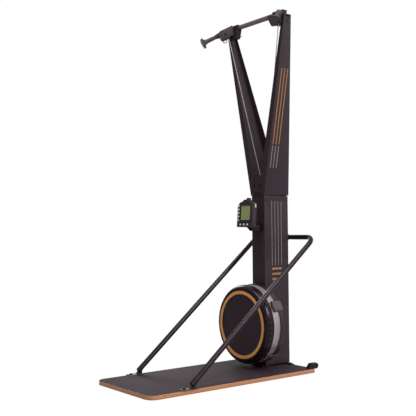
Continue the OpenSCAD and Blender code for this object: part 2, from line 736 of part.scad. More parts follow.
module return_cords() color(black) for (y = [right_drum_y, left_drum_y]) {
    cord(return_route(y + return_offset), cord_r, [0, 1, 0]);
}
module return_pulley(y) color(metal) translate([return_x, y + return_offset, return_z]) along_y()
    pulley(idler_pitch_r, cord_r);
module right_return_pulley() return_pulley(right_drum_y);
module left_return_pulley() return_pulley(left_drum_y);

// Handles
module in_handle_frame() in_head_frame() translate([0, 0, top_pitch_r]) along_x() children();
module pommel_polygon(grow, turn) polygon([for (i = [0 : 2]) for (s = [-60 : turn : 60])
    pommel_spread * [cos(120 * i), sin(120 * i)]
        + (pommel_corner_r + grow) * [cos(120 * i + s), sin(120 * i + s)]]);
module handle() color(black) in_handle_frame() difference() {
    union() {
        rotate_extrude() polygon([
            [0, handle_start], [grip_r + 2, handle_start], [grip_r + 2, handle_start + 9],
            [grip_r, handle_start + 11], [grip_r, handle_len - 34], [grip_r + 9, handle_len - 4],
            [0, handle_len - 4]
        ]);
        translate([0, 0, handle_len - pommel_t / 2]) linear_extrude(pommel_t) pommel_polygon(0, 12);
    }
    difference() {
        translate([0, 0, handle_len + pommel_t / 2 - 4]) linear_extrude(10) pommel_polygon(-6, 120);
        translate([-60, -3.5, handle_len]) cube([120, 7, 40]);
    }
}
module right_handle() handle();
module left_handle() mirror([1, 0, 0]) handle();

// Fan
module at_fan(y) translate([0, y, fan_z]) along_y() children();
module fan_profile(points) {
    translate([0, 0, fan_z]) along_y() rotate_extrude($fn = 96) polygon(points);
}
module fan_front_cover() color(black) fan_profile([
    [0, fan_front + 8], [ring_in - 2, fan_front + 8], [ring_in - 1, fan_front + ring_t],
    [ring_r + 1, fan_front + ring_t], [ring_r + 2, fan_front], [ring_r + 8, fan_front + 1],
    [fan_r + 1, cone_end], [fan_r - 2 * cone_wall, cone_end], [ring_r + 5, fan_front + 5],
    [ring_r, fan_front + ring_t + cone_wall], [ring_in + 2, fan_front + ring_t + cone_wall],
    [ring_in, fan_front + 8 + cone_wall], [0, fan_front + 8 + cone_wall]
]);
module fan_ring() color(orange) at_fan(fan_front) ring(ring_r, ring_in, ring_t);
module fan_cage() color(metal) at_fan(cone_end) ring(fan_r - 3, fan_r - 5.5, cage_w);
module fan_rear_cover() color(black) difference() {
    union() {
        fan_profile([
            [fan_bore, fan_back - 4], [fan_r - 6, fan_back - 4], [fan_r - 6, cage_end],
            [fan_r, cage_end], [rim_r, fan_back - 6], [rim_r, fan_back], [fan_bore, fan_back]
        ]);
        at_fan(fan_back) ring(48, fan_bore, col_front - fan_back);
    }
    for (i = [0 : 11]) at_fan(fan_back - 10) rotate(30 * i) translate([70, -9, 0]) cube([120, 18, 20]);
}
module rim_clamp(angle, half, h, y) {
    at_fan(y) rotate(-angle) translate([rim_r - clamp_sink, -half, 0]) cube([h + clamp_sink, 2 * half, fan_back - y]);
}
module rim_clamps() color(dark_grey) both_sides() difference() {
    union() {
        rim_clamp(clamp_angles[0], 38, 14, cage_end - 30);
        rim_clamp(clamp_angles[1], 14, 8, cone_end + 8);
    }
    at_fan(cage_end - 31) rotate(-clamp_angles[0]) translate([rim_r + 7, 0, 0]) cylinder(r = 5, h = 4);
    translate([0, 0, fan_z]) along_y() translate([0, 0, fan_front]) cylinder(r = rim_r, h = fan_reach, $fn = 240);
}
module fan_rotor() color(metal) difference() {
    union() {
        at_fan(rotor_back - 3) cylinder(r = rotor_r, h = 3);
        at_fan(rotor_front) ring(rotor_r, 0.6 * rotor_r, 2);
        for (i = [0 : blade_count - 1]) at_fan(rotor_front + 1) rotate(360 * i / blade_count)
            translate([0.6 * rotor_r, -1, 0]) cube([0.4 * rotor_r - 1, 2, rotor_back - rotor_front - 2]);
        at_fan(rotor_front + 22) cylinder(r = 24, h = rotor_back - rotor_front - 22);
    }
    at_fan(rotor_front) cylinder(r = shaft_r, h = 200);
}
module fan_shaft() color(metal) at_fan(shaft_front) cylinder(r = shaft_r, h = shaft_back - shaft_front);
module shaft_bearings() color(bar_grey) {
    for (y = [col_front + steel_t, col_rear - steel_t - bearing_w]) {
        at_fan(y) ring(30, shaft_r + run_gap, bearing_w);
    }
}
module fan_base_bracket() color(black) {
    top = fan_z - fan_r + 12;
    translate([-34, fan_back, col_base]) cube([68, 4, top - col_base]);
    translate([-34, fan_back, col_base]) cube([68, col_front - fan_back, 4]);
}

// Drums: a wound section for the drive cord and a narrow one for the return cord
module drum(y) color(metal) {
    low = -drum_wind_w / 2 - drum_flange_t;
    mid = drum_wind_w / 2;
    length = drum_wind_w + drum_return_w + 3 * drum_flange_t;
    at_fan(y) difference() {
        union() {
            translate([0, 0, low]) cylinder(r = drum_flange_r, h = drum_flange_t);
            translate([0, 0, mid]) cylinder(r = drum_flange_r, h = drum_flange_t);
            translate([0, 0, low + length - drum_flange_t]) cylinder(r = drum_flange_r, h = drum_flange_t);
            translate([0, 0, low]) cylinder(r = drum_pitch_r - cord_r, h = drum_wind_w + drum_flange_t + 1);
            translate([0, 0, low]) cylinder(r = return_pitch_r - cord_r, h = length);
        }
        translate([0, 0, -100]) cylinder(r = shaft_r + 0.5, h = 200);
        translate([0, 0, -clutch_w / 2]) cylinder(r = clutch_r, h = clutch_w);
    }
    at_fan(y - clutch_w / 2) ring(clutch_r, shaft_r + run_gap, clutch_w);
    at_fan(y + low + drum_flange_t) ring(winding_out, drum_pitch_r - cord_r, drum_wind_w);
    at_fan(y + return_offset - cord_r)
        ring(return_pitch_r + cord_r, return_pitch_r - cord_r, 2 * cord_r);
}
module right_drum() drum(right_drum_y);
module left_drum() drum(left_drum_y);

// Brace: one tube bent twice
module in_brace_frame() translate([0, brace_pin[1], brace_pin[2]]) rotate([brace_slope, 0, 0]) children();
module brace_half(r, below) {
    leg = brace_leg - brace_bend_r;
    translate([brace_x, -below, 0]) along_y() cylinder(r = r, h = leg + below);
    translate([brace_x - brace_bend_r, leg, 0]) rotate_extrude(angle = 90)
        translate([brace_bend_r, 0]) circle(r = r);
    translate([-1, brace_leg, 0]) along_x() cylinder(r = r, h = brace_x - brace_bend_r + 1);
}
module brace_frame() color(black) difference() {
    in_brace_frame() both_sides() brace_half(brace_r, brace_below_pin);
    in_brace_frame() both_sides() brace_half(brace_r - 2.5, brace_below_pin + 1);
    in_brace_frame() both_sides() translate([brace_x - lug_t / 2 - fit_gap, -brace_below_pin - 20, -30])
        cube([lug_t + 2 * fit_gap, brace_below_pin + 42, 60]);
    both_sides() translate([brace_x - bore_reach, brace_pin[1], brace_pin[2]]) along_x()
        cylinder(r = pin_r + 0.2, h = 2 * bore_reach);
    both_sides() translate([brace_bolt_x, brace_rear_y - bore_reach, brace_top_z]) along_y()
        cylinder(r = pin_r + 0.4, h = 2 * bore_reach);
}
module brace_feet() color(black) both_sides() difference() {
    union() {
        translate([brace_x - foot_w / 2, foot_bolt_y - foot_heel, deck_top])
            cube([foot_w, brace_pin[1] + lug_r - foot_bolt_y + foot_heel, foot_t]);
        translate([brace_x - lug_t / 2, brace_pin[1] - lug_back, deck_top])
            cube([lug_t, lug_back + lug_r, brace_pin[2] - deck_top]);
        translate([brace_x - lug_t / 2, brace_pin[1], brace_pin[2]]) along_x() cylinder(r = lug_r, h = lug_t);
    }
    translate([brace_x - 10, brace_pin[1], brace_pin[2]]) along_x() cylinder(r = pin_r + 0.2, h = 20);
    deck_bolt_holes(deck_top - 1, foot_t + 2);
}
module frame_bolts() color(black) {
    nut_z = board_z + 2;
    for (b = deck_bolt_spots) {
        translate([b[0], b[1], deck_top + b[2]]) cylinder(r = 2 * deck_bolt_r, h = bolt_head_h, $fn = 6);
        translate([b[0], b[1], nut_z]) cylinder(r = deck_bolt_r, h = deck_top + b[2] - nut_z + 1);
        translate([b[0], b[1], nut_z]) difference() {
            cylinder(r = 2 * deck_bolt_r, h = deck_nut_h, $fn = 6);
            translate([0, 0, -1]) cylinder(r = deck_bolt_r - 0.5, h = deck_nut_h + 2);
        }
    }
    both_sides() {
        translate([brace_x - brace_r - 4, brace_pin[1], brace_pin[2]]) along_x() {
            cylinder(r = pin_r, h = 2 * brace_r + 8);
            cylinder(r = 2 * pin_r, h = 4, $fn = 6);
            translate([0, 0, 2 * brace_r + 4]) cylinder(r = 2 * pin_r, h = 4, $fn = 6);
        }
        translate([brace_bolt_x, col_rear - steel_t - 8, brace_top_z]) along_y() {
            cylinder(r = pin_r, h = brace_rear_y + brace_r - col_rear + steel_t + 12);
            cylinder(r = 2 * pin_r, h = 8, $fn = 6);
            translate([0, 0, brace_rear_y + brace_r - col_rear + steel_t + 8])
                cylinder(r = 2 * pin_r, h = 4);
        }
        translate([monitor_screw_x, col_front - 7, hinge_z - 12]) along_y() {
            cylinder(r = 2 * screw_r, h = 3);
            cylinder(r = screw_r, h = 12);
        }
    }
}

// Transport wheels
module wheel_brackets() color(black) both_sides() difference() {
    union() {
        for (x = [-wheel_w / 2 - 4, wheel_w / 2 + 1]) sheet_in_yz(wheel_x + x, wheel_x + x + 3) {
            polygon([
                [deck_rear - 50, deck_top], [deck_rear - 22, wheel_z + wheel_ear_r],
                [axle_y, wheel_z + wheel_ear_r], [axle_y, deck_top]
            ]);
            translate([axle_y, wheel_z]) circle(r = wheel_ear_r);
        }
        translate([wheel_x - wheel_w / 2 - 4, deck_rear - 50, deck_top])
            cube([wheel_w + 8, 49, wheel_plate_t]);
        translate([wheel_x - wheel_w / 2 - 8, axle_y, wheel_z]) along_x()
            cylinder(r = pin_r, h = wheel_w + 16);
    }
    deck_bolt_holes(deck_top - 1, wheel_plate_t + 2);
}
module wheel() color(black) translate([wheel_x - wheel_w / 2, axle_y, wheel_z]) along_x() difference() {
    cylinder(r = wheel_r, h = wheel_w);
    translate([0, 0, -1]) cylinder(r = pin_r + run_gap, h = wheel_w + 2);
    for (z = [-1, wheel_w - 3]) translate([0, 0, z]) ring(wheel_r - 5, 9, 4);
}
module right_wheel() wheel();
module left_wheel() mirror([1, 0, 0]) wheel();

// Monitor, in a frame with its origin at the middle of the case's lower front edge
module in_case_frame() translate([0, case_front_y, case_z]) rotate([-case_tilt, 0, 0]) children();
module case_outline(inset) polygon([
    [inset - case_w / 2, inset], [case_w / 2 - inset, inset], [case_w / 2 - inset, case_h - 26],
    [case_w / 2 - 14, case_h - 8 - inset], [40, case_h - 6 - inset], [26, case_h + 8 - inset],
    [-14, case_h + 8 - inset], [-30, case_h - 4 - inset], [-52, case_h - 8 - inset],
    [inset - case_w / 2, case_h - 32]
]);
module monitor_front() color(black) in_case_frame() difference() {
    sheet_in_xz(0, bezel_t) case_outline(0);
    sheet_in_xz(case_wall, bezel_t + 1) case_outline(case_wall);
    translate([lcd_x - lcd_w / 2, -1, lcd_low]) cube([lcd_w, case_wall + 2, lcd_h]);
    for (b = button_spots) translate([b[0], -1, b[1]]) along_y()
        cylinder(r = button_r + button_gap, h = case_wall + 2);
}
module monitor_back() color(black) in_case_frame() difference() {
    union() {
        difference() {
            sheet_in_xz(bezel_t, case_d) case_outline(0);
            sheet_in_xz(bezel_t - 1, case_d - case_wall) case_outline(case_wall);
        }
        for (x = [-12, 6]) translate([x, 0, 0]) {
            translate([0, case_d - 1, hinge_up - 9]) cube([6, hinge_back + 1, 18]);
            translate([0, case_d + hinge_back, hinge_up]) along_x() cylinder(r = 9, h = 6);
        }
        translate([-4, bezel_t, case_h + 7]) cube([26, case_d - bezel_t - 6, 13]);
    }
    translate([-60, case_d + hinge_back, hinge_up]) along_x() cylinder(r = hinge_r + run_gap, h = 120);
}
module monitor_screen() color([0.42, 0.47, 0.3]) in_case_frame()
    translate([lcd_x - lcd_w / 2 - 4, case_wall, lcd_low - 4]) cube([lcd_w + 8, 3, lcd_h + 8]);
module monitor_arm() color(black) difference() {
    union() {
        for (x = [-arm_half_w, arm_half_w - 8]) {
            sheet_in_yz(x, x + 8) polygon([
                [hinge_y, hinge_z - ear_r], [hinge_y, hinge_z + ear_r], [col_front - 4, hinge_z + 5],
                [col_front - 4, hinge_z - 32], [hinge_y + 24, hinge_z - 32]
            ]);
            translate([x, hinge_y, hinge_z]) along_x() cylinder(r = ear_r, h = 8);
        }
        sheet_in_yz(-arm_half_w, arm_half_w) polygon([
            [hinge_y + 22, hinge_z + 3], [col_front - 4, hinge_z + 1],
            [col_front - 4, hinge_z - 26], [hinge_y + 26, hinge_z - 26]
        ]);
        translate([-arm_half_w - 11, col_front - 4, hinge_z - 36])
            cube([2 * arm_half_w + 22, 4, 47]);
        translate([-arm_half_w, hinge_y, hinge_z]) along_x() cylinder(r = hinge_r, h = 2 * arm_half_w);
    }
    both_sides() translate([monitor_screw_x, col_front - 10, hinge_z - 12]) along_y()
        cylinder(r = screw_r + 0.2, h = 20);
}
module button(i) color([0.9, 0.88, 0.87]) in_case_frame()
    translate([button_spots[i - 1][0], -button_stand, button_spots[i - 1][1]]) along_y() {
        cylinder(r = button_r, h = button_stand + case_wall + 0.3);
        translate([0, 0, button_stand + case_wall + 0.3]) cylinder(r = button_r + 1.2, h = 1.2);
    }

module button_1() button(1);
module button_2() button(2);
module button_3() button(3);
module button_4() button(4);
module button_5() button(5);
module button_6() button(6);
module button_7() button(7);
module button_8() button(8);

platform_board();
grip_sheet();
floor_pads();
column_front();
column_rear();
base_plate();
frame_bolts();
left_side_cover();
right_side_cover();
side_cover_screws();
left_arm();
right_arm();
arm_bolts();
crossbar();
left_arm_head();
right_arm_head();
left_pulley_housing();
right_pulley_housing();
guard_loops();
top_pulley_pins();
left_top_pulley();
right_top_pulley();
guide_pulley_brackets();
left_guide_pulley();
right_guide_pulley();
left_drive_cord();
right_drive_cord();
left_handle();
right_handle();
fan_shaft();
fan_rotor();
shaft_bearings();
left_drum();
right_drum();
return_cords();
left_return_pulley();
right_return_pulley();
fan_front_cover();
fan_ring();
fan_cage();
fan_rear_cover();
rim_clamps();
fan_base_bracket();
brace_frame();
brace_feet();
wheel_brackets();
left_wheel();
right_wheel();
monitor_front();
monitor_back();
monitor_screen();
monitor_arm();
button_1();
button_2();
button_3();
button_4();
button_5();
button_6();
button_7();
button_8();
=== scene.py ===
"""Looks of the ski trainer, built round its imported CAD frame. Metres. The user faces +Y."""
import json
import math

import bmesh
import bpy
from mathutils import Matrix, Vector

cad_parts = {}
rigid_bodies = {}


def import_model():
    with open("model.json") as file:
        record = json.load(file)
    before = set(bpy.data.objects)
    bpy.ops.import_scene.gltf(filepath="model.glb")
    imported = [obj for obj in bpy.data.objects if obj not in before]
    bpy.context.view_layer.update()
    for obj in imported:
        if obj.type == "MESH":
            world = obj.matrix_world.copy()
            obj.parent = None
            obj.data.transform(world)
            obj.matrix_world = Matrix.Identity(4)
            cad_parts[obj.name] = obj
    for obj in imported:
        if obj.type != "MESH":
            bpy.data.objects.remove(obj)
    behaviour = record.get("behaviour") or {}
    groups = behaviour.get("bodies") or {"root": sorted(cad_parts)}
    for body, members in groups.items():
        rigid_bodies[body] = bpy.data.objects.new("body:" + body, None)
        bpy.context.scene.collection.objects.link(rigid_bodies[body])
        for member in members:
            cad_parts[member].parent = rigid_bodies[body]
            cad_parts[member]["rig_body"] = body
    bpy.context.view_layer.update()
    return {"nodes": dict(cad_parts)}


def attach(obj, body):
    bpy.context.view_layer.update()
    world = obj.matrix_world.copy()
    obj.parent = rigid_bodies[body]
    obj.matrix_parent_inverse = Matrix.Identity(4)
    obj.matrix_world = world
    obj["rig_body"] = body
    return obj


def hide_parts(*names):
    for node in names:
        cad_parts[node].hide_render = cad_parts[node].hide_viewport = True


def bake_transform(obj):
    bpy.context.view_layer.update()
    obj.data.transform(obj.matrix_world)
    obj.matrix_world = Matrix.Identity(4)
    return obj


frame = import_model()
NODES = frame["nodes"]

# Sizes and places repeated from the part's source, in millimetres and degrees
BOARD_Z, BOARD_T = 4.0, 24.0
FAN_Z, FAN_FRONT, FAN_BACK = 313.0, 243.5, 386.5
CONE_END, CAGE_END = FAN_FRONT + 58, FAN_FRONT + 113
CASE_Y, CASE_Z, CASE_TILT = 278.5, 946.0, 4.5
ARM_FOOT_X, ARM_HEAD_X, ARM_BOTTOM, ARM_TOP = 66.0, 288.0, 1154.0, 2300.0
ARM_ANGLE = math.degrees(math.atan((ARM_HEAD_X - ARM_FOOT_X) / (ARM_TOP - ARM_BOTTOM)))
UPPER_CLAMP, LOWER_CLAMP = 30.0, -48.0
LUG_FRONT, LUG_TOP, LUG_LEAN = -379.5, 63.6, 20.0
WHEEL_AXLE = (274, 633.5, 44)

# The same for the cords: the corners of a drive cord's route on the right, then the pulleys and drums
HANDLE_END = Vector((357, 227.5, 2215))
CORD_CORNER = Vector((262, 367.2, 2298))
CORD_FOOT = Vector((30, 452.5, 1286))
CORD_R, TOP_PITCH, GUIDE_PITCH, DRUM_PITCH = 3.0, 18.0, 16.0, 25.0
DROP_X, DRUM_END = DRUM_PITCH, math.sqrt((DRUM_PITCH + CORD_R) ** 2 - (DRUM_PITCH - CORD_R) ** 2) + 1
HOUSING_END, FIT_GAP = 58.0, 0.3
HANDLE_START = HOUSING_END + FIT_GAP
DRUM_Y = {"right": 449.5, "left": 531.5}
RETURN_OFFSET, RETURN_PITCH, IDLER_PITCH = 38.5, 17.0, 14.0
RETURN_RISE, RETURN_Z, RETURN_END_Z = 15.3, 925.0, 80.0


# Node materials
PURPLE = (1.0, 0.84, 0.93)


def new_material(name):
    """A material with a shader that is still to be fed."""
    mat = bpy.data.materials.new(name)
    mat.use_nodes = True
    tree = mat.node_tree
    tree.nodes.clear()
    out = tree.nodes.new("ShaderNodeOutputMaterial")
    shader = tree.nodes.new("ShaderNodeBsdfPrincipled")
    tree.links.new(shader.outputs[0], out.inputs[0])
    return mat, tree, shader


def node(tree, kind, inputs=None, **props):
    """Adds a node; an input is a value, or the socket that feeds it."""
    made = tree.nodes.new(kind)
    for key, value in props.items():
        setattr(made, key, value)
    for key, value in (inputs or {}).items():
        if isinstance(value, bpy.types.NodeSocket):
            tree.links.new(value, made.inputs[key])
        else:
            made.inputs[key].default_value = value
    return made


def object_coords(tree, scale=(1, 1, 1)):
    coords = node(tree, "ShaderNodeTexCoord")
    return node(tree, "ShaderNodeMapping", {"Vector": coords.outputs["Object"], "Scale": scale}).outputs[0]


def ramp(tree, value, stops):
    """A colour ramp over [place, colour] stops."""
    made = node(tree, "ShaderNodeValToRGB", {"Fac": value})
    band = made.color_ramp
    while len(band.elements) < len(stops):
        band.elements.new(0.5)
    for element, (place, colour) in zip(band.elements, stops):
        element.position = place
        element.color = (*colour, 1)
    return made.outputs[0]


def shade(colour, k):
    """The colour made k times as light, up to white."""
    return tuple(min(1.0, c * k) for c in colour)


def grainy(name, colour, rough=0.5, grain=900.0, bump=0.06, spread=0.12, metallic=0.0, coat=0.0,
           stretch=(1, 1, 1), spec=0.5, blotch=3.0, tint=(1.0, 1.0, 1.0)):
    """A painted, moulded or metal surface: fine grain in the bump, slow change in tone and gloss."""
    mat, tree, shader = new_material(name)
    at = object_coords(tree, stretch)
    fine = node(tree, "ShaderNodeTexNoise", {"Vector": at, "Scale": grain, "Detail": 3.0})
    slow = node(tree, "ShaderNodeTexNoise", {"Vector": at, "Scale": blotch, "Detail": 4.0})
    tone = ramp(tree, slow.outputs[0], [(0.3, shade(colour, 1 - spread)), (0.7, shade(colour, 1 + spread))])
    tree.links.new(tone, shader.inputs["Base Color"])
    gloss = node(tree, "ShaderNodeMapRange", {"Value": slow.outputs[0], "From Min": 0.3, "From Max": 0.7,
                                              "To Min": max(0.02, rough - 0.06), "To Max": rough + 0.06})
    tree.links.new(gloss.outputs[0], shader.inputs["Roughness"])
    lift = node(tree, "ShaderNodeBump", {"Height": fine.outputs[0], "Strength": bump, "Distance": 0.0006})
    tree.links.new(lift.outputs[0], shader.inputs["Normal"])
    shader.inputs["Metallic"].default_value = metallic
    shader.inputs["Coat Weight"].default_value = coat
    shader.inputs["Specular IOR Level"].default_value = spec
    shader.inputs["Specular Tint"].default_value = (*tint, 1)
    return mat


def plywood(name):
    """Thin glued layers stacked along Z, each with its own tone and grain."""
    mat, tree, shader = new_material(name)
    at = object_coords(tree)
    split = node(tree, "ShaderNodeSeparateXYZ", {"Vector": at})
    height = node(tree, "ShaderNodeMapRange", {"Value": split.outputs[2], "From Min": BOARD_Z / 1000,
                                               "From Max": (BOARD_Z + BOARD_T) / 1000})
    light, mid, dark = (0.78, 0.39, 0.2), (0.62, 0.27, 0.12), (0.42, 0.16, 0.06)
    stops = [(0.0, light), (0.1, mid), (0.2, dark), (0.3, mid), (0.42, light), (0.52, dark),
             (0.62, mid), (0.72, light), (0.8, dark), (0.88, mid), (0.95, light)]
    layers = ramp(tree, height.outputs[0], stops)
    long = object_coords(tree, (6, 6, 60))
    grain = node(tree, "ShaderNodeTexNoise",
                 {"Vector": long, "Scale": 9.0, "Detail": 6.0, "Distortion": 0.4})
    tint = ramp(tree, grain.outputs[0], [(0.35, (0.72, 0.66, 0.6)), (0.65, (1.0, 1.0, 1.0))])
    mixed = node(tree, "ShaderNodeMix", {"Factor": 0.75}, data_type="RGBA", blend_type="MULTIPLY")
    tree.links.new(layers, mixed.inputs[6])
    tree.links.new(tint, mixed.inputs[7])
    tree.links.new(mixed.outputs[2], shader.inputs["Base Color"])
    bump = node(tree, "ShaderNodeBump", {"Height": grain.outputs[0], "Strength": 0.15, "Distance": 0.0008})
    tree.links.new(bump.outputs[0], shader.inputs["Normal"])
    shader.inputs["Roughness"].default_value = 0.42
    shader.inputs["Coat Weight"].default_value = 0.25
    return mat


def braid(name, colour, pitch=420.0):
    """A braided cord: two crossing sets of strands in the bump, and painted shade in the tone that darkens
    the grooves between them.
    """
    mat, tree, shader = new_material(name)
    at = object_coords(tree)
    one = node(tree, "ShaderNodeTexWave", {"Vector": at, "Scale": pitch, "Distortion": 1.5},
               bands_direction="DIAGONAL")
    turned = node(tree, "ShaderNodeMapping", {"Vector": at, "Rotation": (0, math.radians(90), 0)})
    two = node(tree, "ShaderNodeTexWave", {"Vector": turned.outputs[0], "Scale": pitch, "Distortion": 1.5},
               bands_direction="DIAGONAL")
    both = node(tree, "ShaderNodeMath", {0: one.outputs[1], 1: two.outputs[1]}, operation="MAXIMUM")
    # Painted shade: the tone falls to half in the grooves between the strands
    tone = ramp(tree, both.outputs[0], [(0.2, shade(colour, 0.5)), (0.8, colour)])
    tree.links.new(tone, shader.inputs["Base Color"])
    bump = node(tree, "ShaderNodeBump", {"Height": both.outputs[0], "Strength": 0.5, "Distance": 0.0006})
    tree.links.new(bump.outputs[0], shader.inputs["Normal"])
    shader.inputs["Roughness"].default_value = 0.85
    shader.inputs["Sheen Weight"].default_value = 0.3
    return mat


def grip_sheet_material(name):
    """Fine cells pressed into a rubber sheet, with worn patches."""
    mat, tree, shader = new_material(name)
    at = object_coords(tree)
    cells = node(tree, "ShaderNodeTexVoronoi", {"Vector": at, "Scale": 420.0})
    worn = node(tree, "ShaderNodeTexNoise", {"Vector": at, "Scale": 5.0, "Detail": 6.0})
    tone = ramp(tree, worn.outputs[0], [(0.3, (0.033, 0.021, 0.027)), (0.7, (0.043, 0.029, 0.036))])
    tree.links.new(tone, shader.inputs["Base Color"])
    bump = node(tree, "ShaderNodeBump", {"Height": cells.outputs[0], "Strength": 0.35, "Distance": 0.0008})
    tree.links.new(bump.outputs[0], shader.inputs["Normal"])
    gloss = node(tree, "ShaderNodeMapRange", {"Value": worn.outputs[0], "To Min": 0.62, "To Max": 0.8})
    tree.links.new(gloss.outputs[0], shader.inputs["Roughness"])
    shader.inputs["Specular IOR Level"].default_value = 0.3
    shader.inputs["Specular Tint"].default_value = (*PURPLE, 1)
    return mat


FINISHES = {
    "dark_paint": dict(colour=(0.036, 0.021, 0.029), rough=0.44, bump=0.1, spec=0.35),
    "cover_paint": dict(colour=(0.033, 0.021, 0.027), rough=0.46, bump=0.1, spec=0.35),
    "black_paint": dict(colour=(0.014, 0.0075, 0.011), rough=0.24, bump=0.004, spec=0.3, tint=PURPLE),
    "bar_paint": dict(colour=(0.2, 0.16, 0.175), rough=0.46, bump=0.05, spec=0.35, tint=PURPLE),
    "zinc": dict(colour=(0.56, 0.54, 0.52), rough=0.32, metallic=1.0, stretch=(1, 1, 8), grain=300),
    "bolt": dict(colour=(0.012, 0.008, 0.01), rough=0.6, bump=0.03, spec=0.2),
    "rubber": dict(colour=(0.02, 0.018, 0.02), rough=0.75, bump=0.2, grain=500),
    "black_plastic": dict(colour=(0.024, 0.014, 0.019), rough=0.46, bump=0.12, grain=1200, spec=0.35),
    "case_plastic": dict(colour=(0.04, 0.025, 0.032), bump=0.14, grain=1200, spec=0.35),
    "disc_plastic": dict(colour=(0.033, 0.019, 0.027), bump=0.14, grain=700, spec=0.3, tint=PURPLE),
    "cone_plastic": dict(colour=(0.012, 0.006, 0.009), rough=0.2, bump=0.02, spec=0.3, tint=PURPLE),
    "rear_plastic": dict(colour=(0.03, 0.018, 0.024), rough=0.3, bump=0.03, tint=PURPLE),
    "clamp_grey": dict(colour=(0.085, 0.066, 0.075), rough=0.45, bump=0.08),
    "ring_orange": dict(colour=(0.98, 0.42, 0.13), bump=0.1, spread=0.02, spec=0.4),
    "mesh_steel": dict(colour=(0.62, 0.53, 0.52), rough=0.36, metallic=0.6, stretch=(1, 30, 1), grain=90),
    "wheel_grey": dict(colour=(0.14, 0.13, 0.135), rough=0.45),
    "rotor": dict(colour=(0.09, 0.085, 0.09), rough=0.4, metallic=0.5),
    "stripe_grey": dict(colour=(0.25, 0.22, 0.225), spread=0.04),
    "stripe_orange": dict(colour=(0.46, 0.2, 0.065), spread=0.04),
    "button": dict(colour=(0.95, 0.91, 0.9), rough=0.4, spread=0.02),
    "grip_plastic": dict(colour=(0.062, 0.046, 0.052), bump=0.12, grain=1200, spec=0.35),
    "port": dict(colour=(0.72, 0.69, 0.68), rough=0.35, spread=0.03),
    "mark": dict(colour=(0.01, 0.008, 0.009), rough=0.6, spread=0.02),
    "lcd": dict(colour=(0.38, 0.46, 0.19), rough=0.22, bump=0.0, spread=0.05, coat=0.3),
    "lcd_digit": dict(colour=(0.25, 0.31, 0.12), rough=0.3, bump=0.0, spread=0.03),
}
MATS = {name: grainy(name, **look) for name, look in FINISHES.items()}
MATS["cord_light"] = braid("cord_light", (0.55, 0.5, 0.46))
MATS["cord_black"] = braid("cord_black", (0.03, 0.027, 0.03))
MATS["plywood"] = plywood("plywood")
MATS["grip_sheet"] = grip_sheet_material("grip_sheet")


# Mesh helpers. Every builder takes millimetres and returns an object at the origin, in metres.
def place_object(name, data):
    """Puts a mesh, light or camera into the scene as a new object."""
    obj = bpy.data.objects.new(name, data)
    bpy.context.scene.collection.objects.link(obj)
    return obj


def mesh_from(name, bm, clean=True):
    """Turns a bmesh into a mesh, its faces turned outward, and frees it."""
    if clean:
        bmesh.ops.recalc_face_normals(bm, faces=bm.faces)
    mesh = bpy.data.meshes.new(name)
    bm.to_mesh(mesh)
    bm.free()
    return mesh


def evaluated_mesh(obj):
    """The object's mesh with its modifiers applied."""
    bpy.context.view_layer.update()
    seen = obj.evaluated_get(bpy.context.evaluated_depsgraph_get())
    return bpy.data.meshes.new_from_object(seen)


def smooth(mesh, sharp=None):
    """Shades a mesh smooth, but for edges sharper than an angle in degrees."""
    for poly in mesh.polygons:
        poly.use_smooth = True
    if sharp:
        mesh.set_sharp_from_angle(angle=math.radians(sharp))


def finish_mesh(name, bm, mat, body, replaces=(), sharp=32.0, clean=True):
    """Makes a bmesh a piece of the scene: its material, body and the CAD nodes it replaces."""
    mesh = mesh_from(name, bm, clean)
    smooth(mesh, sharp)
    mesh.materials.append(MATS[mat])
    obj = place_object(name, mesh)
    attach(obj, body)
    if replaces:
        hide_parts(*replaces)
    return obj


CREASE = 28.0  # Degrees between two faces above which their edge is softened


def bevel(bm, width, segments=2):
    """Softens every crease of a mesh."""
    edges = [e for e in bm.edges
             if len(e.link_faces) == 2 and e.calc_face_angle(0) > math.radians(CREASE)]
    if edges and width:
        bmesh.ops.bevel(bm, geom=edges, offset=width / 1000, segments=segments, profile=0.6,
                        affect="EDGES", clamp_overlap=True, loop_slide=True)


def dress(node_name, mat, width, segments=2, shape=None):
    """A copy of a CAD node with softened edges, shown in the node's place. shape may move its points."""
    bm = bmesh.new()
    bm.from_mesh(NODES[node_name].data)
    if shape:
        for v in bm.verts:
            v.co = shape(v.co * 1000) / 1000
    bmesh.ops.remove_doubles(bm, verts=bm.verts, dist=2e-6)
    bmesh.ops.dissolve_limit(bm, angle_limit=math.radians(0.4), verts=bm.verts, edges=bm.edges)
    bevel(bm, width, segments)
    return finish_mesh(node_name + "_soft", bm, mat, NODES[node_name]["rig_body"], (node_name,))


def paint(mat, *names):
    """Gives CAD nodes whose shape is right their material."""
    for name in names:
        mesh = NODES[name].data
        mesh.materials.clear()
        mesh.materials.append(MATS[mat])
        smooth(mesh, 30)


def grid_faces(bm, rings, caps=True):
    """Skins a list of vertex rings, each a list of points in millimetres."""
    rows = [[bm.verts.new(Vector(p) / 1000) for p in ring] for ring in rings]
    n = len(rows[0])
    for a, b in zip(rows, rows[1:]):
        for i in range(n):
            k = (i + 1) % n
            bm.faces.new((a[i], a[k], b[k], b[i]))
    if caps:
        bm.faces.new(list(reversed(rows[0])))
        bm.faces.new(rows[-1])
    return rows


def turned_rings(profile, matrix, steps):
    """A ring of points round the matrix's Z axis for each [radius, height]."""
    turns = [math.tau * i / steps for i in range(steps)]
    return [[matrix @ Vector((r * math.cos(a), r * math.sin(a), h)) for a in turns] for r, h in profile]


def lathe(bm, profile, matrix, steps=64):
    """A turned solid with flat ends, from its outline along the axis."""
    grid_faces(bm, turned_rings(profile, matrix, steps))


def lathe_loop(bm, profile, matrix, steps=128):
    """A turned ring, from a closed section that stays clear of the axis."""
    rows = grid_faces(bm, turned_rings(profile, matrix, steps), caps=False)
    for i in range(steps):
        k = (i + 1) % steps
        bm.faces.new((rows[-1][i], rows[-1][k], rows[0][k], rows[0][i]))


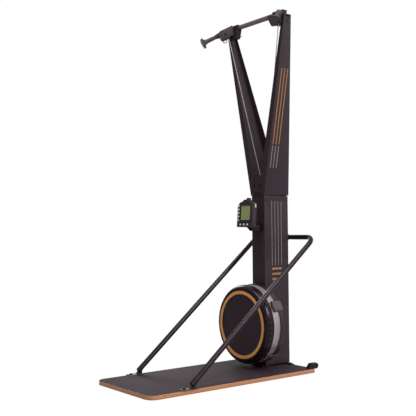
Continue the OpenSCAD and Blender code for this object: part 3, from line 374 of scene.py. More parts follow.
def tube(bm, points, radius, sides=14):
    """A round tube along points, with its cross-section carried along without twist."""
    pts = [Vector(p) for p in points]
    dirs = []
    for i in range(len(pts)):
        d = pts[min(i + 1, len(pts) - 1)] - pts[max(i - 1, 0)]
        dirs.append(d.normalized())
    side = dirs[0].orthogonal().normalized()
    rings = []
    for p, d in zip(pts, dirs):
        side = (side - d * side.dot(d)).normalized()
        up = d.cross(side)
        turns = [math.tau * k / sides for k in range(sides)]
        rings.append([p + radius * (side * math.cos(a) + up * math.sin(a)) for a in turns])
    grid_faces(bm, rings)


def slab(bm, outline, low, high, matrix=None, width=0.0, segments=2):
    """A flat plate: an outline in the matrix's XY plane, from low to high along its Z."""
    matrix = matrix or Matrix.Identity(4)
    before = set(bm.verts)
    grid_faces(bm, [[matrix @ Vector((x, y, z)) for x, y in outline] for z in (low, high)])
    if width:
        new_edges = [e for e in bm.edges if e.verts[0] not in before and len(e.link_faces) == 2
                     and e.calc_face_angle(0) > math.radians(CREASE)]
        bmesh.ops.bevel(bm, geom=new_edges, offset=width / 1000, segments=segments, profile=0.6,
                        affect="EDGES", clamp_overlap=True)


def arc(cx, cy, r, start, end, steps):
    """Points of an arc about (cx, cy) between two angles in degrees."""
    turns = [math.radians(start + (end - start) * i / steps) for i in range(steps + 1)]
    return [(cx + r * math.cos(a), cy + r * math.sin(a)) for a in turns]


def round_rect(w, h, r, steps=6, cx=0.0, cy=0.0):
    """The outline of a rectangle with round corners, about its middle."""
    pts = []
    for sx, sy, start in ((1, 1, 0), (-1, 1, 90), (-1, -1, 180), (1, -1, 270)):
        pts += arc(cx + sx * (w / 2 - r), cy + sy * (h / 2 - r), r, start, start + 90, steps)
    return pts


def to_side(bm, side):
    """Moves a mesh built on the right over to the left, where that is its side."""
    if side == "left":
        for v in bm.verts:
            v.co.x = -v.co.x
        bmesh.ops.reverse_faces(bm, faces=bm.faces)


def axes_matrix(origin, x, y, z):
    """The frame at an origin with the given axes."""
    m = Matrix((x, y, z)).transposed().to_4x4()
    m.translation = Vector(origin)
    return m


ALONG_Y = Matrix(((1, 0, 0, 0), (0, 0, 1, 0), (0, -1, 0, 0), (0, 0, 0, 1)))
FAN = Matrix.Translation((0, 0, FAN_Z)) @ ALONG_Y


# The cords' route is worked out as in the part's source: each turn round a pulley touches both straights
def flip_x(p):
    return Vector((-p.x, p.y, p.z))


def half_angle(a, corner, b):
    return (a - corner).angle(b - corner) / 2


def turn_centre(a, corner, b, radius):
    """The centre of the turn of that radius inside the corner between a and b."""
    way = ((a - corner).normalized() + (b - corner).normalized()).normalized()
    return corner + way * radius / math.sin(half_angle(a, corner, b))


def turn_points(a, corner, b, radius, steps):
    """Points along that turn, from the side of a to the side of b."""
    half = half_angle(a, corner, b)
    centre = turn_centre(a, corner, b, radius)
    reach = radius / math.tan(half)
    first = corner + (a - corner).normalized() * reach - centre
    last = corner + (b - corner).normalized() * reach - centre
    axis, sweep = first.cross(last), math.pi - 2 * half
    return [centre + Matrix.Rotation(sweep * i / steps, 3, axis) @ first for i in range(steps + 1)]


UP_DIR = (CORD_CORNER - CORD_FOOT).normalized()
OUT_DIR = (HANDLE_END - CORD_CORNER).normalized()
HEAD_YAW = math.atan2(OUT_DIR.y, OUT_DIR.x)
HEAD_PITCH = -math.asin(OUT_DIR.z)
HEAD_TURN = Matrix.Rotation(HEAD_YAW, 4, "Z") @ Matrix.Rotation(HEAD_PITCH, 4, "Y")
HEAD_ROLL = -math.atan((HEAD_TURN.col[1].xyz @ UP_DIR) / (HEAD_TURN.col[2].xyz @ UP_DIR))
HEAD_PULLEY = turn_centre(HANDLE_END, CORD_CORNER, CORD_FOOT, TOP_PITCH)
HEAD = Matrix.Translation(HEAD_PULLEY) @ HEAD_TURN @ Matrix.Rotation(HEAD_ROLL, 4, "X")
HANDLE_LEN = ((HANDLE_END - CORD_CORNER).length
              - TOP_PITCH / math.tan(half_angle(HANDLE_END, CORD_CORNER, CORD_FOOT)))
GRIP = HEAD @ Matrix.Translation((0, 0, TOP_PITCH)) @ Matrix.Rotation(math.radians(90), 4, "Y")
CASE = Matrix.Translation((0, CASE_Y, CASE_Z)) @ Matrix.Rotation(math.radians(-CASE_TILT), 4, "X")
CASE_FACE = CASE @ Matrix.Rotation(math.radians(90), 4, "X")
ARM = Matrix.Translation((ARM_FOOT_X, 0, ARM_BOTTOM)) @ Matrix.Rotation(math.radians(ARM_ANGLE), 4, "Y")

# Camera at the photograph's viewing angle
EYE = (3.7217, -2.8788, 0.9266)
YAW, PITCH, ROLL = math.radians(52.4423), math.radians(1.691), math.radians(-0.5283)
camera_data = bpy.data.cameras.new("camera")
camera = place_object("camera", camera_data)
bpy.context.scene.camera = camera
camera_data.sensor_width = 36.0
camera_data.lens = 64.72
camera_data.clip_start = 0.05
ahead = Vector((-math.sin(YAW) * math.cos(PITCH), math.cos(YAW) * math.cos(PITCH), math.sin(PITCH)))
level = Vector((math.cos(YAW), math.sin(YAW), 0))
above = level.cross(ahead)
right = level * math.cos(ROLL) + above * math.sin(ROLL)
up = above * math.cos(ROLL) - level * math.sin(ROLL)
camera.matrix_world = axes_matrix(EYE, right, up, -ahead)

# Light round the object: white to the camera, softly brighter towards BRIGHT_SIDE for the object
BRIGHT_SIDE = (0.62, 0.36, 0.7)
bpy.context.scene.view_settings.view_transform = "Standard"
world = bpy.data.worlds.new("world")
bpy.context.scene.world = world
world.use_nodes = True
air = world.node_tree
air.nodes.clear()
ray = node(air, "ShaderNodeLightPath")
way = node(air, "ShaderNodeTexCoord")
toward = node(air, "ShaderNodeVectorMath", {0: way.outputs["Generated"], 1: BRIGHT_SIDE},
              operation="DOT_PRODUCT")
glow = node(air, "ShaderNodeMapRange", {"Value": toward.outputs["Value"], "From Min": -0.5, "From Max": 1.0,
                                        "To Min": 0.1, "To Max": 0.85})
strength = node(air, "ShaderNodeMix", {"Factor": ray.outputs["Is Camera Ray"], "A": glow.outputs[0],
                                       "B": 1.0}, data_type="FLOAT")
sky = node(air, "ShaderNodeBackground", {"Color": (1, 1, 1, 1), "Strength": strength.outputs[0]})
node(air, "ShaderNodeOutputWorld", {"Surface": sky.outputs[0]})

# Pale floor, nearly white to the camera, that still takes the object's shadow
FLOOR_REACH, FLOOR_WHITENESS, FLOOR_GLOW = 40, 0.92, 1.06
floor_mat, floor_tree, floor_shader = new_material("floor_pale")
floor_noise = node(floor_tree, "ShaderNodeTexNoise", {"Vector": object_coords(floor_tree), "Scale": 2.0})
floor_tone = ramp(floor_tree, floor_noise.outputs[0], [(0.3, (0.5, 0.5, 0.5)), (0.7, (0.52, 0.52, 0.52))])
floor_tree.links.new(floor_tone, floor_shader.inputs["Base Color"])
floor_shader.inputs["Roughness"].default_value = 0.9
floor_shader.inputs["Specular IOR Level"].default_value = 0.1
floor_path = node(floor_tree, "ShaderNodeLightPath")
floor_share = node(floor_tree, "ShaderNodeMath",
                   {0: floor_path.outputs["Is Camera Ray"], 1: FLOOR_WHITENESS}, operation="MULTIPLY")
floor_white = node(floor_tree, "ShaderNodeEmission", {"Color": (1, 1, 1, 1), "Strength": FLOOR_GLOW})
floor_blend = node(floor_tree, "ShaderNodeMixShader", {0: floor_share.outputs[0],
                                                       1: floor_shader.outputs[0],
                                                       2: floor_white.outputs[0]})
floor_end = next(n for n in floor_tree.nodes if n.type == "OUTPUT_MATERIAL")
floor_tree.links.new(floor_blend.outputs[0], floor_end.inputs[0])
floor_mesh = bpy.data.meshes.new("floor")
floor_corners = [(x * FLOOR_REACH, y * FLOOR_REACH, 0) for x, y in ((-1, -1), (1, -1), (1, 1), (-1, 1))]
floor_mesh.from_pydata(floor_corners, [], [(0, 1, 2, 3)])
floor_mesh.materials.append(floor_mat)
floor = place_object("floor", floor_mesh)


def area_light(name, place, target, size, power):
    """A rectangular light, in metres and watts, aimed from its place at a target."""
    data = bpy.data.lights.new(name, "AREA")
    data.shape = "RECTANGLE"
    data.size, data.size_y = size
    data.energy = power
    obj = place_object(name, data)
    obj.location = place
    obj.rotation_euler = (Vector(target) - Vector(place)).to_track_quat("-Z", "Y").to_euler()


area_light("key", (4.2, 0.6, 3.4), (0.1, 0.3, 1.5), (1.8, 1.8), 90)
area_light("top", (0.6, -0.4, 4.6), (0, 0, 0.5), (2.0, 2.5), 50)
area_light("edge", (-3.6, 1.7, 2.3), (0, 0.3, 0.5), (1.1, 1.6), 34)


# Cords first: the drive cords over their pulleys, then the elastic return cords
def drive_route(side):
    """The path of a drive cord from its housing over the pulleys and down to its drum."""
    if side == "right":
        far, top = HANDLE_END, CORD_CORNER
        turn = CORD_FOOT - UP_DIR * ((CORD_FOOT.x - DROP_X) / UP_DIR.x)
    else:
        far, top = flip_x(HANDLE_END), flip_x(CORD_CORNER)
        turn = flip_x(CORD_FOOT - UP_DIR * ((CORD_FOOT.x + DROP_X) / UP_DIR.x))
    low = Vector((DROP_X, DRUM_Y[side], FAN_Z + DRUM_END))
    over = turn_points(far, top, turn, TOP_PITCH, 8)
    start = over[0] + (far - top).normalized() * HOUSING_END
    return [start] + over + turn_points(top, turn, low, GUIDE_PITCH, 4) + [low]


for side in ("right", "left"):
    bm = bmesh.new()
    tube(bm, drive_route(side), CORD_R, sides=16)
    finish_mesh(f"{side}_cord_braided", bm, "cord_light", "frame", (f"{side}_drive_cord",))
bm = bmesh.new()
idler_x = -RETURN_PITCH - IDLER_PITCH
for side in ("right", "left"):
    run_y = DRUM_Y[side] + RETURN_OFFSET
    over = [(x, run_y, z) for x, z in arc(idler_x, RETURN_Z, IDLER_PITCH, 0, 180, 12)]
    start = (-RETURN_PITCH, run_y, FAN_Z + RETURN_RISE)
    tube(bm, [start] + over + [(idler_x - IDLER_PITCH, run_y, RETURN_END_Z)], CORD_R, sides=12)
finish_mesh("return_cords_braided", bm, "cord_black", "frame", ("return_cords",))


# Deck, pads and folded steel
def leaning_lug(p):
    """Leans the lugs' front edges back along the brace."""
    at_edge = p.z > LUG_TOP - 3 and p.y < LUG_FRONT + 5
    return p + Vector((0, LUG_LEAN, 0)) if at_edge else p


dress("platform_board", "plywood", 1.0)
dress("grip_sheet", "grip_sheet", 0.5)
paint("rubber", "floor_pads")
for name in ("column_front", "column_rear", "left_arm", "right_arm"):
    dress(name, "dark_paint", 1.2)
for name in ("left_side_cover", "right_side_cover"):
    dress(name, "cover_paint", 0.8)
for name in ("base_plate", "fan_base_bracket", "wheel_brackets", "monitor_arm"):
    dress(name, "black_paint", 0.8)
dress("brace_feet", "dark_paint", 0.8, shape=leaning_lug)
for name in ("frame_bolts", "side_cover_screws"):
    dress(name, "bolt", 0.6)
paint("black_paint", "brace_frame")
paint("bolt", "top_pulley_pins")
paint("zinc", "fan_shaft", "shaft_bearings", "guide_pulley_brackets")
paint("rotor", "fan_rotor", "left_drum", "right_drum", "left_top_pulley", "right_top_pulley",
      "left_guide_pulley", "right_guide_pulley", "left_return_pulley", "right_return_pulley")

# Moulded heads and pulley housings
HEAD_CENTRE_X, HEAD_CENTRE_Y = 290.0, 386.8
HEAD_NARROWER, HEAD_FLATTER = 0.91, 0.78
HEAD_INNER_X, HEAD_WIDTH, HEAD_SLOPE = 165.0, 91.0, 2.0
HEAD_LOW_Z, HEAD_LOW_DEPTH, HEAD_HIGH_Z, HEAD_HIGH_DEPTH = 2270.0, 32.0, 2280.0, 51.0
HOUSING_SHALLOWER = 28 / 32
GUARD_LIFT, CROSSBAR_LIFT = Vector((0, 0, 3)), Vector((0, 0, 4))
TOP_BOLT_Z, TOP_BOLT_SHIFT = 2310.0, Vector((-9, 0, -1))


def slimmer_head(p):
    """Draws the moulded head in from its sides, its top down towards the arm and its underside up."""
    middle = HEAD_CENTRE_X if p.x > 0 else -HEAD_CENTRE_X
    drop = HEAD_SLOPE * max(0.0, (abs(p.x) - HEAD_INNER_X) / HEAD_WIDTH)
    high = max(0.0, (p.z - HEAD_HIGH_Z) / HEAD_HIGH_DEPTH)
    low = max(0.0, (HEAD_LOW_Z - p.z) / HEAD_LOW_DEPTH)
    return Vector((middle + (p.x - middle) * HEAD_NARROWER,
                   HEAD_CENTRE_Y + (p.y - HEAD_CENTRE_Y) * HEAD_FLATTER,
                   p.z - drop * high + HEAD_SLOPE * low))


def in_head(change):
    """Turns a change of a point in the right head's frame into one for either side."""
    def moved(p):
        q = change(HEAD.inverted() @ (p if p.x > 0 else flip_x(p)))
        return HEAD @ q if p.x > 0 else flip_x(HEAD @ q)
    return moved


def rounder_housing(q):
    """Draws the housing's underside up to the pulley."""
    return Vector((q.x, q.y, q.z * (HOUSING_SHALLOWER if q.z < 0 else 1.0)))


def top_bolts_in(p):
    """Moves the topmost bolt of each arm in with the slimmer head."""
    if p.z <= TOP_BOLT_Z:
        return p
    return p + (TOP_BOLT_SHIFT if p.x > 0 else flip_x(TOP_BOLT_SHIFT))


for side in ("left", "right"):
    dress(f"{side}_arm_head", "black_plastic", 2.0, segments=3, shape=slimmer_head)
    dress(f"{side}_pulley_housing", "cover_paint", 3.0, segments=3, shape=in_head(rounder_housing))
dress("guard_loops", "black_paint", 0.0, shape=in_head(lambda q: q + GUARD_LIFT))
dress("crossbar", "bar_paint", 0.0, shape=lambda p: p + CROSSBAR_LIFT)
dress("arm_bolts", "bolt", 0.6, shape=top_bolts_in)


# Repeats round the fan
def round_tree():
    """Rows of a tile along Y, then copies of the row round the fan's axis."""
    tree = bpy.data.node_groups.new("round_the_fan", "GeometryNodeTree")
    sockets = {"Tile": "Geometry", "Around": "Int", "Rows": "Int", "Row Pitch": "Float",
               "Centre": "Vector", "Finish": "Material"}
    for name, kind in sockets.items():
        tree.interface.new_socket(name=name, in_out="INPUT", socket_type="NodeSocket" + kind)
    tree.interface.new_socket(name="Result", in_out="OUTPUT", socket_type="NodeSocketGeometry")
    start = tree.nodes.new("NodeGroupInput").outputs
    step = node(tree, "ShaderNodeCombineXYZ", {1: start["Row Pitch"]})
    line = node(tree, "GeometryNodeMeshLine", {"Count": start["Rows"], "Offset": step.outputs[0]})
    row = node(tree, "GeometryNodeInstanceOnPoints", {"Points": line.outputs[0], "Instance": start["Tile"]})
    row_mesh = node(tree, "GeometryNodeRealizeInstances", {0: row.outputs[0]})
    hub = node(tree, "GeometryNodeMeshLine", {"Count": start["Around"], "Offset": (0, 0, 0)})
    place = node(tree, "GeometryNodeInputIndex")
    share = node(tree, "ShaderNodeMath", {0: place.outputs[0], 1: start["Around"]}, operation="DIVIDE")
    angle = node(tree, "ShaderNodeMath", {0: share.outputs[0], 1: math.tau}, operation="MULTIPLY")
    turn = node(tree, "ShaderNodeCombineXYZ", {1: angle.outputs[0]})
    around = node(tree, "GeometryNodeInstanceOnPoints",
                  {"Points": hub.outputs[0], "Instance": row_mesh.outputs[0], "Rotation": turn.outputs[0]})
    whole = node(tree, "GeometryNodeRealizeInstances", {0: around.outputs[0]})
    welded = node(tree, "GeometryNodeMergeByDistance", {"Geometry": whole.outputs[0], "Distance": 0.00002})
    moved = node(tree, "GeometryNodeTransform",
                 {"Geometry": welded.outputs[0], "Translation": start["Centre"]})
    done = node(tree, "GeometryNodeSetMaterial",
                {"Geometry": moved.outputs[0], "Material": start["Finish"]})
    end = tree.nodes.new("NodeGroupOutput")
    tree.links.new(done.outputs[0], end.inputs[0])
    return tree


ROUND_TREE = round_tree()


def round_the_fan(name, bm, mat, around, rows, pitch, start_y, replaces=()):
    """Repeats a tile in rows and round the fan's axis by the node tree, and keeps the mesh."""
    tile = place_object(name + "_tile", mesh_from(name + "_tile", bm, clean=False))
    made = tile.modifiers.new("round", "NODES")
    made.node_group = ROUND_TREE
    values = {"Around": around, "Rows": rows, "Row Pitch": pitch / 1000,
              "Centre": (0.0, start_y / 1000, FAN_Z / 1000), "Finish": MATS[mat]}
    for item in ROUND_TREE.interface.items_tree:
        if item.in_out == "INPUT" and item.name in values:
            made[item.identifier] = values[item.name]
    mesh = evaluated_mesh(tile)
    bpy.data.objects.remove(tile)
    result = bmesh.new()
    result.from_mesh(mesh)
    finish_mesh(name, result, mat, "frame", replaces, clean=False)


def perforated_tile(radius, depth, around, pitch, hole):
    """One square of sheet with an eight-sided hole through it, outside, inside and walls."""
    bm = bmesh.new()
    edge, rim = {}, {}
    for layer, r in (("out", radius), ("in", radius - depth)):
        side, end = r * math.tan(math.pi / around), pitch / 2
        square = [(side, 0), (side, end), (0, end), (-side, end),
                  (-side, 0), (-side, -end), (0, -end), (side, -end)]
        edge[layer] = [bm.verts.new(Vector((x, y, r)) / 1000) for x, y in square]
        rim[layer] = [bm.verts.new(Vector((x, y, r)) / 1000) for x, y in arc(0, 0, hole, 0, 315, 7)]
    for i in range(8):
        k = (i + 1) % 8
        bm.faces.new((edge["out"][i], edge["out"][k], rim["out"][k], rim["out"][i]))
        bm.faces.new((edge["in"][k], edge["in"][i], rim["in"][i], rim["in"][k]))
        bm.faces.new((rim["out"][i], rim["out"][k], rim["in"][k], rim["in"][i]))
    return bm


# Air fan: dished front, coloured ring, glossy cone, perforated band and rear cover. Sections are
# [radius, height] from the fan's axis, with the height measured along Y.
def fan_loop(name, mat, section, replaces=(), steps=128):
    """A fixed piece of the fan, turned from a closed section."""
    bm = bmesh.new()
    lathe_loop(bm, section, FAN, steps)
    finish_mesh(name, bm, mat, "frame", replaces)


F = FAN_FRONT
bm = bmesh.new()
lathe(bm, [(0.5, F + 9.5), (60, F + 9.3), (130, F + 8.7), (180, F + 7.9), (190, F + 7.2), (194, F + 6),
           (195.4, F + 3.4), (197, F + 3.2), (220, F + 3.2), (221, F + 4), (221, F + 6), (198, F + 6.2),
           (196, F + 11), (100, F + 12), (0.5, F + 12.5)], FAN, steps=128)
finish_mesh("fan_disc", bm, "disc_plastic", "frame", ("fan_front_cover",))
swell = [(255 - 23 * (1 - t) ** 2.2, F + 2 + 47 * t ** 1.35) for t in [i / 12 for i in range(13)]]
fan_loop("fan_cone", "cone_plastic",
         [(221.3, F + 3.2), (221.4, F + 1.2), (222.4, F), (225, F - 0.4), (229, F + 0.2)] + swell
         + [(255, CONE_END - 4), (254.4, CONE_END), (248, CONE_END), (247, F + 40), (228, F + 10),
            (221.3, F + 6)], ("fan_front_cover",))
fan_loop("fan_ring_bevelled", "ring_orange",
         [(197.6, F + 3), (197.6, F + 0.9), (198.4, F + 0.2), (217.2, F + 0.2), (218, F + 0.9),
          (218, F + 3)], ("fan_ring",), steps=160)
fan_loop("fan_cone_bead", "cone_plastic",
         [(247.4, CONE_END - 13), (254.2, CONE_END - 13), (256, CONE_END - 11.8), (256, CONE_END - 9.6),
          (254.4, CONE_END - 8.6), (254.4, CONE_END - 0.6), (247.4, CONE_END - 0.6)])
# Grey patches over the cone's slots: a painted highlight for the light on the slots' edges
bm = bmesh.new()
slot_tilt = Matrix.Translation((0, 0, 253.4)) @ Matrix.Rotation(math.radians(-20), 4, "X")
slab(bm, round_rect(15, 5, 2.4, 4), 0, 1.4, slot_tilt, width=0.4, segments=1)
round_the_fan("fan_cone_slot_highlights", bm, "clamp_grey", 48, 1, 0, F + 36)
HOLES_ROUND, HOLE_ROWS, HOLE_PITCH = 290, 10, 5.4
round_the_fan("fan_band", perforated_tile(250.2, 1.0, HOLES_ROUND, HOLE_PITCH, 1.75), "mesh_steel",
              HOLES_ROUND, HOLE_ROWS, HOLE_PITCH, CONE_END + 2.9, ("fan_cage",))
bm = bmesh.new()
for y0, y1 in ((CONE_END + 0.2, CONE_END + 3), (CAGE_END - 2.6, CAGE_END - 0.2)):
    lathe_loop(bm, [(248.6, y0), (250.6, y0), (250.6, y1), (248.6, y1)], FAN)
finish_mesh("fan_band_hems", bm, "mesh_steel", "frame", ("fan_cage",))
dress("fan_rear_cover", "rear_plastic", 1.5)
fan_loop("fan_rear_lip", "rear_plastic",
         [(254, CAGE_END + 0.2), (257.5, CAGE_END + 0.6), (258.6, CAGE_END + 2.4),
          (257.8, CAGE_END + 4.6), (254, CAGE_END + 5)])


# Rounded clamps over the band, and small stirrups under them
RIM = 254.6


def clamp_frame(angle, sx):
    """The frame of a clamp on the rim: X round the rim, Y outward and Z towards the front."""
    out = Vector((math.cos(math.radians(angle)) * sx, 0, math.sin(math.radians(angle))))
    along = Vector((0, 1, 0))
    return axes_matrix((0, 0, FAN_Z), out.cross(along).normalized() * -1, out, along * -1)


for side, sx in (("right", 1), ("left", -1)):
    upper, lower = bmesh.new(), bmesh.new()
    at = clamp_frame(UPPER_CLAMP, sx)
    block = [(-36, RIM - 1), (36, RIM - 1), (36, RIM + 4)]
    block += arc(24, RIM + 4.5, 10, 10, 90, 5) + arc(-24, RIM + 4.5, 10, 90, 170, 5) + [(-36, RIM + 4)]
    slab(upper, block, -FAN_BACK + 0.5, -CAGE_END + 42, at, width=2.5, segments=3)
    boss = at @ Matrix.Translation((0, RIM + 5, -CAGE_END + 41))
    lathe(upper, [(8.4, 0), (8.4, 4.5), (7.2, 6.2), (4.6, 6.2), (4.2, 2), (0.4, 1.8)], boss, steps=28)
    finish_mesh(f"{side}_upper_clamp", upper, "clamp_grey", "frame", ("rim_clamps",))
    at = clamp_frame(LOWER_CLAMP, sx)
    front, back = -CONE_END - 9, -FAN_BACK + 3
    bow = ((RIM - 4, front), (RIM + 3, front), (RIM + 6, front - 3), (RIM + 6, back + 3), (RIM + 3, back),
           (RIM - 1, back))
    for x in (-9, 9):
        tube(lower, [at @ Vector((x, y, z)) for y, z in bow], 2.4, 12)
    slab(lower, round_rect(24, 6, 2, 3, 0, RIM + 5), back + 2, front - 2, at, width=0.8)
    finish_mesh(f"{side}_lower_clamp", lower, "clamp_grey", "frame", ("rim_clamps",))
bm = bmesh.new()
for sx in (1, -1):
    at = clamp_frame(UPPER_CLAMP, sx)
    lathe(bm, [(4.1, 1.9), (3.9, 3.4), (2.6, 3.4), (2.4, 2.4), (0.3, 2.4)],
          at @ Matrix.Translation((0, RIM + 5, -CAGE_END + 41)), steps=18)
finish_mesh("clamp_screws", bm, "bolt", "frame")


# Pull handles: collar, waisted grip, flared end plate with two pockets and a rib
def cut(obj, cutter_bm):
    """Takes a closed mesh out of an object."""
    cutter = place_object("cutter", mesh_from("cutter", cutter_bm))
    made = obj.modifiers.new("cut", "BOOLEAN")
    made.object = cutter
    made.solver = "EXACT"
    mesh = evaluated_mesh(obj)
    obj.modifiers.clear()
    obj.data = mesh
    bpy.data.objects.remove(cutter)


END_T, POCKET_DEPTH, WALL, RIB_HALF = 15.0, 1.3, 6, 3.5


def corner_outline(grow, spread=23.5, corner=16.0, steps=10):
    """A triangle with wide round corners, made larger by grow on all sides."""
    pts = []
    for turn in (0, 120, 240):
        cx, cy = spread * math.cos(math.radians(turn)), spread * math.sin(math.radians(turn))
        pts += arc(cx, cy, corner + grow, turn - 60, turn + 60, steps)
    return pts


def half_pocket(sign, floor_z):
    """The pocket on one side of the rib, from the inner outline."""
    pts = [(x, y) for x, y in corner_outline(-WALL, steps=6) if sign * y > RIB_HALF]
    pts.sort(key=lambda p: math.atan2(sign * p[1], p[0]))
    line = [(pts[0][0], RIB_HALF * sign)] + pts + [(pts[-1][0], RIB_HALF * sign)]
    if sign < 0:
        line.reverse()
    bm = bmesh.new()
    slab(bm, line, floor_z, floor_z + 20, GRIP)
    return bm


PULLED_START, PULLED_R = 50.0, 2.9
for side in ("right", "left"):
    plate = bmesh.new()
    slab(plate, corner_outline(0), HANDLE_LEN - END_T / 2, HANDLE_LEN + END_T / 2, GRIP, width=3.0,
         segments=3)
    end_plate = place_object("plate", mesh_from("plate", plate))
    for sign in (1, -1):
        cut(end_plate, half_pocket(sign, HANDLE_LEN + END_T / 2 - POCKET_DEPTH))
    bm = bmesh.new()
    bm.from_mesh(end_plate.data)
    bpy.data.objects.remove(end_plate)
    s, e = HANDLE_START, HANDLE_LEN
    flare = [(14.2 + 10.5 * t ** 2.2, e - 42 + 36 * t) for t in [i / 8 for i in range(9)]]
    lathe(bm, [(4, s), (14.5, s), (15.8, s + 1.2), (16, s + 7), (15.2, s + 9), (13.6, s + 11),
               (13.4, s + 16), (13.7, s + 30), (14.1, s + 44)] + flare + [(22, e - 3)], GRIP, steps=48)
    to_side(bm, side)
    finish_mesh(f"{side}_handle_grip", bm, "grip_plastic", f"{side}_handle",
                (f"{side}_handle",), sharp=40)
    # The cord between the housing and the handle
    bm = bmesh.new()
    tube(bm, [GRIP @ Vector((0, 0, PULLED_START + i)) for i in range(31)], PULLED_R, sides=12)
    to_side(bm, side)
    cord_mesh = mesh_from(f"{side}_pulled_cord", bm)
    smooth(cord_mesh)
    cord_mesh.materials.append(MATS["cord_light"])
    pulled = place_object(f"{side}_pulled_cord", cord_mesh)
    first, last = GRIP @ Vector((0, 0, PULLED_START + 4)), GRIP @ Vector((0, 0, PULLED_START + 28))
    if side == "left":
        first, last = flip_x(first), flip_x(last)
    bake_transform(pulled)

# Monitor: case, green display with its digits as thin strokes, eight buttons and side port
SCREEN_X, SCREEN_Y, OPENING_W, OPENING_H, FRAME_W = 6.0, 91.5, 92.6, 95.6, 2.2
DIGITS_W, STROKE = 76, 1.5
GLASS_BACK, GLASS_FRONT = -5.5, -2.6
CAP_BACK, CAP_FRONT = 1.6, 2.8
dress("monitor_front", "case_plastic", 1.6, segments=3)
dress("monitor_back", "case_plastic", 2.0, segments=3)
bm = bmesh.new()
slab(bm, round_rect(100, 103, 2, cx=SCREEN_X, cy=SCREEN_Y), GLASS_BACK, GLASS_FRONT, CASE_FACE)
finish_mesh("monitor_display", bm, "lcd", "monitor", ("monitor_screen",))
bm = bmesh.new()
for low, high, count in ((120, 134, 4), (101, 113, 5), (82, 96, 4), (64, 76, 6), (50, 59, 3)):
    pitch = DIGITS_W / count
    wide, tall, middle = pitch - 5, high - low, (low + high) / 2
    for i in range(count):
        x = SCREEN_X - DIGITS_W / 2 + pitch * (i + 0.5)
        for cx, cy, w, h in ((x, high, wide, STROKE), (x, low, wide, STROKE),
                             (x - wide / 2, middle, STROKE, tall),
                             (x + wide / 2, middle, STROKE, tall)):
            slab(bm, round_rect(w, h, 0.6, 2, cx, cy), GLASS_FRONT - 0.02, GLASS_FRONT + 0.1, CASE_FACE)
finish_mesh("display_digits", bm, "lcd_digit", "monitor")
bm = bmesh.new()
outer = round_rect(OPENING_W + 2 * FRAME_W, OPENING_H + 2 * FRAME_W, 2.5, 4, SCREEN_X, SCREEN_Y)
inner = round_rect(OPENING_W, OPENING_H, 1.0, 4, SCREEN_X, SCREEN_Y)
grid_faces(bm, [[CASE_FACE @ Vector((x, y, z)) for x, y in line]
                for line, z in ((outer, -0.1), (outer, 0.9), (inner, 0.9), (inner, -2.4))], caps=False)
finish_mesh("display_frame", bm, "black_plastic", "monitor")
# Five buttons beside the screen, three below it
SPOTS = [(-61, 45 + 23 * i) for i in range(5)] + [(-38 + 35 * i, 15) for i in range(3)]
for i, (x, y) in enumerate(SPOTS, start=1):
    bm = bmesh.new()
    slab(bm, round_rect(14, 12.5, 4, 5, x, y), CAP_BACK, CAP_FRONT, CASE_FACE, width=0.5, segments=2)
    stem = CASE_FACE @ Matrix.Translation((x, y, 0))
    lathe(bm, [(4.6, -2.8), (4.6, CAP_BACK + 0.2)], stem, steps=24)
    finish_mesh(f"button_cap_{i}", bm, "button", f"button_{i}", (f"button_{i}",))
bm = bmesh.new()
for x, y in SPOTS[5:]:
    slab(bm, round_rect(9, 2.2, 1, 3, x, y + 12), 0.0, 0.25, CASE_FACE)
finish_mesh("button_marks", bm, "mark", "monitor")
bm = bmesh.new()
side_face = CASE @ Matrix.Translation((75, 24, 139)) @ Matrix.Rotation(math.radians(90), 4, "Y")
slab(bm, round_rect(24, 8, 3.9, 6), -0.5, 1.2, side_face, width=0.5)
finish_mesh("side_port", bm, "port", "monitor")

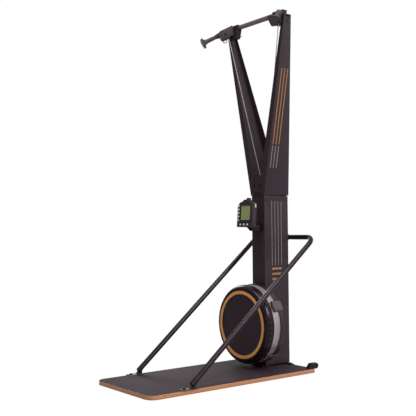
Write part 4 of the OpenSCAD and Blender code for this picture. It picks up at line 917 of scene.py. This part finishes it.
# Transport wheels: rounded tread, groove and hub
AXLE = Matrix.Translation(WHEEL_AXLE) @ Matrix.Rotation(math.radians(90), 4, "Y")
tread = [(4.2, 11), (7, 11), (7.4, 9.5), (13, 9), (14.5, 10.5), (18, 11), (19.6, 9.6), (20, 7), (20, 2),
         (19.2, 1.2)]
for side in ("right", "left"):
    bm = bmesh.new()
    lathe_loop(bm, [(r, -h) for r, h in tread] + tread[::-1], AXLE, steps=56)
    to_side(bm, side)
    finish_mesh(f"{side}_wheel_tyre", bm, "wheel_grey", f"{side}_wheel", (f"{side}_wheel",))


# On the arms and covers: near-black plates behind the slots at the arm tops, painted shade in the slots,
# then plain stripes
def outer_face(node_name, frame_in, z_low, z_high):
    """How far the node's outermost face stands along the given frame's X."""
    inverse = frame_in.inverted()
    places = [inverse @ (v.co * 1000) for v in NODES[node_name].data.vertices]
    return max(p.x for p in places if z_low <= p.z <= z_high)


def on_face(frame_in, x, y, z):
    """The frame of a plate that lies across the given frame's X."""
    return frame_in @ axes_matrix((x, y, z), (0, 1, 0), (0, 0, 1), (1, 0, 0))


def stripe(bm, frame_in, face, y, z, across, along):
    """Adds a thin stripe on a face, by its middle (y, z) and its two sizes."""
    outline = round_rect(across, along, min(across, along) * 0.45, 4)
    slab(bm, outline, 0.02, 0.2, on_face(frame_in, face, y, z))


WORLD = Matrix.Identity(4)
arm_face = outer_face("right_arm", ARM, -50, 1300)
cover_face = outer_face("right_side_cover", WORLD, 100, 1140)
for side in ("right", "left"):
    # A near-black plate inside each arm's web behind its slot: painted shade that keeps the slot dark
    bm = bmesh.new()
    slab(bm, round_rect(30, 20, 3, 4), 0, 2.2, on_face(ARM, arm_face - 5.6, 417.2, 1155), width=0.4)
    to_side(bm, side)
    finish_mesh(f"{side}_slot_shade_plate", bm, "bolt", "frame")
for side in ("right", "left"):
    orange, grey = bmesh.new(), bmesh.new()
    for k in (-1, 0, 1):
        stripe(orange, ARM, arm_face, 448 + 26 * k, 582, 6, 492)
        stripe(grey, ARM, arm_face, 448 + 26 * k, 252, 6, 148)
        stripe(orange, WORLD, cover_face, 508, 634 + 34 * k, 88, 13)
    for k in (-1.5, -0.5, 0.5, 1.5):
        stripe(grey, WORLD, cover_face, 508 + 28 * k, 902, 4, 425)
    for colour, bm in (("orange", orange), ("grey", grey)):
        to_side(bm, side)
        finish_mesh(f"{side}_{colour}_stripes", bm, f"stripe_{colour}", "frame")
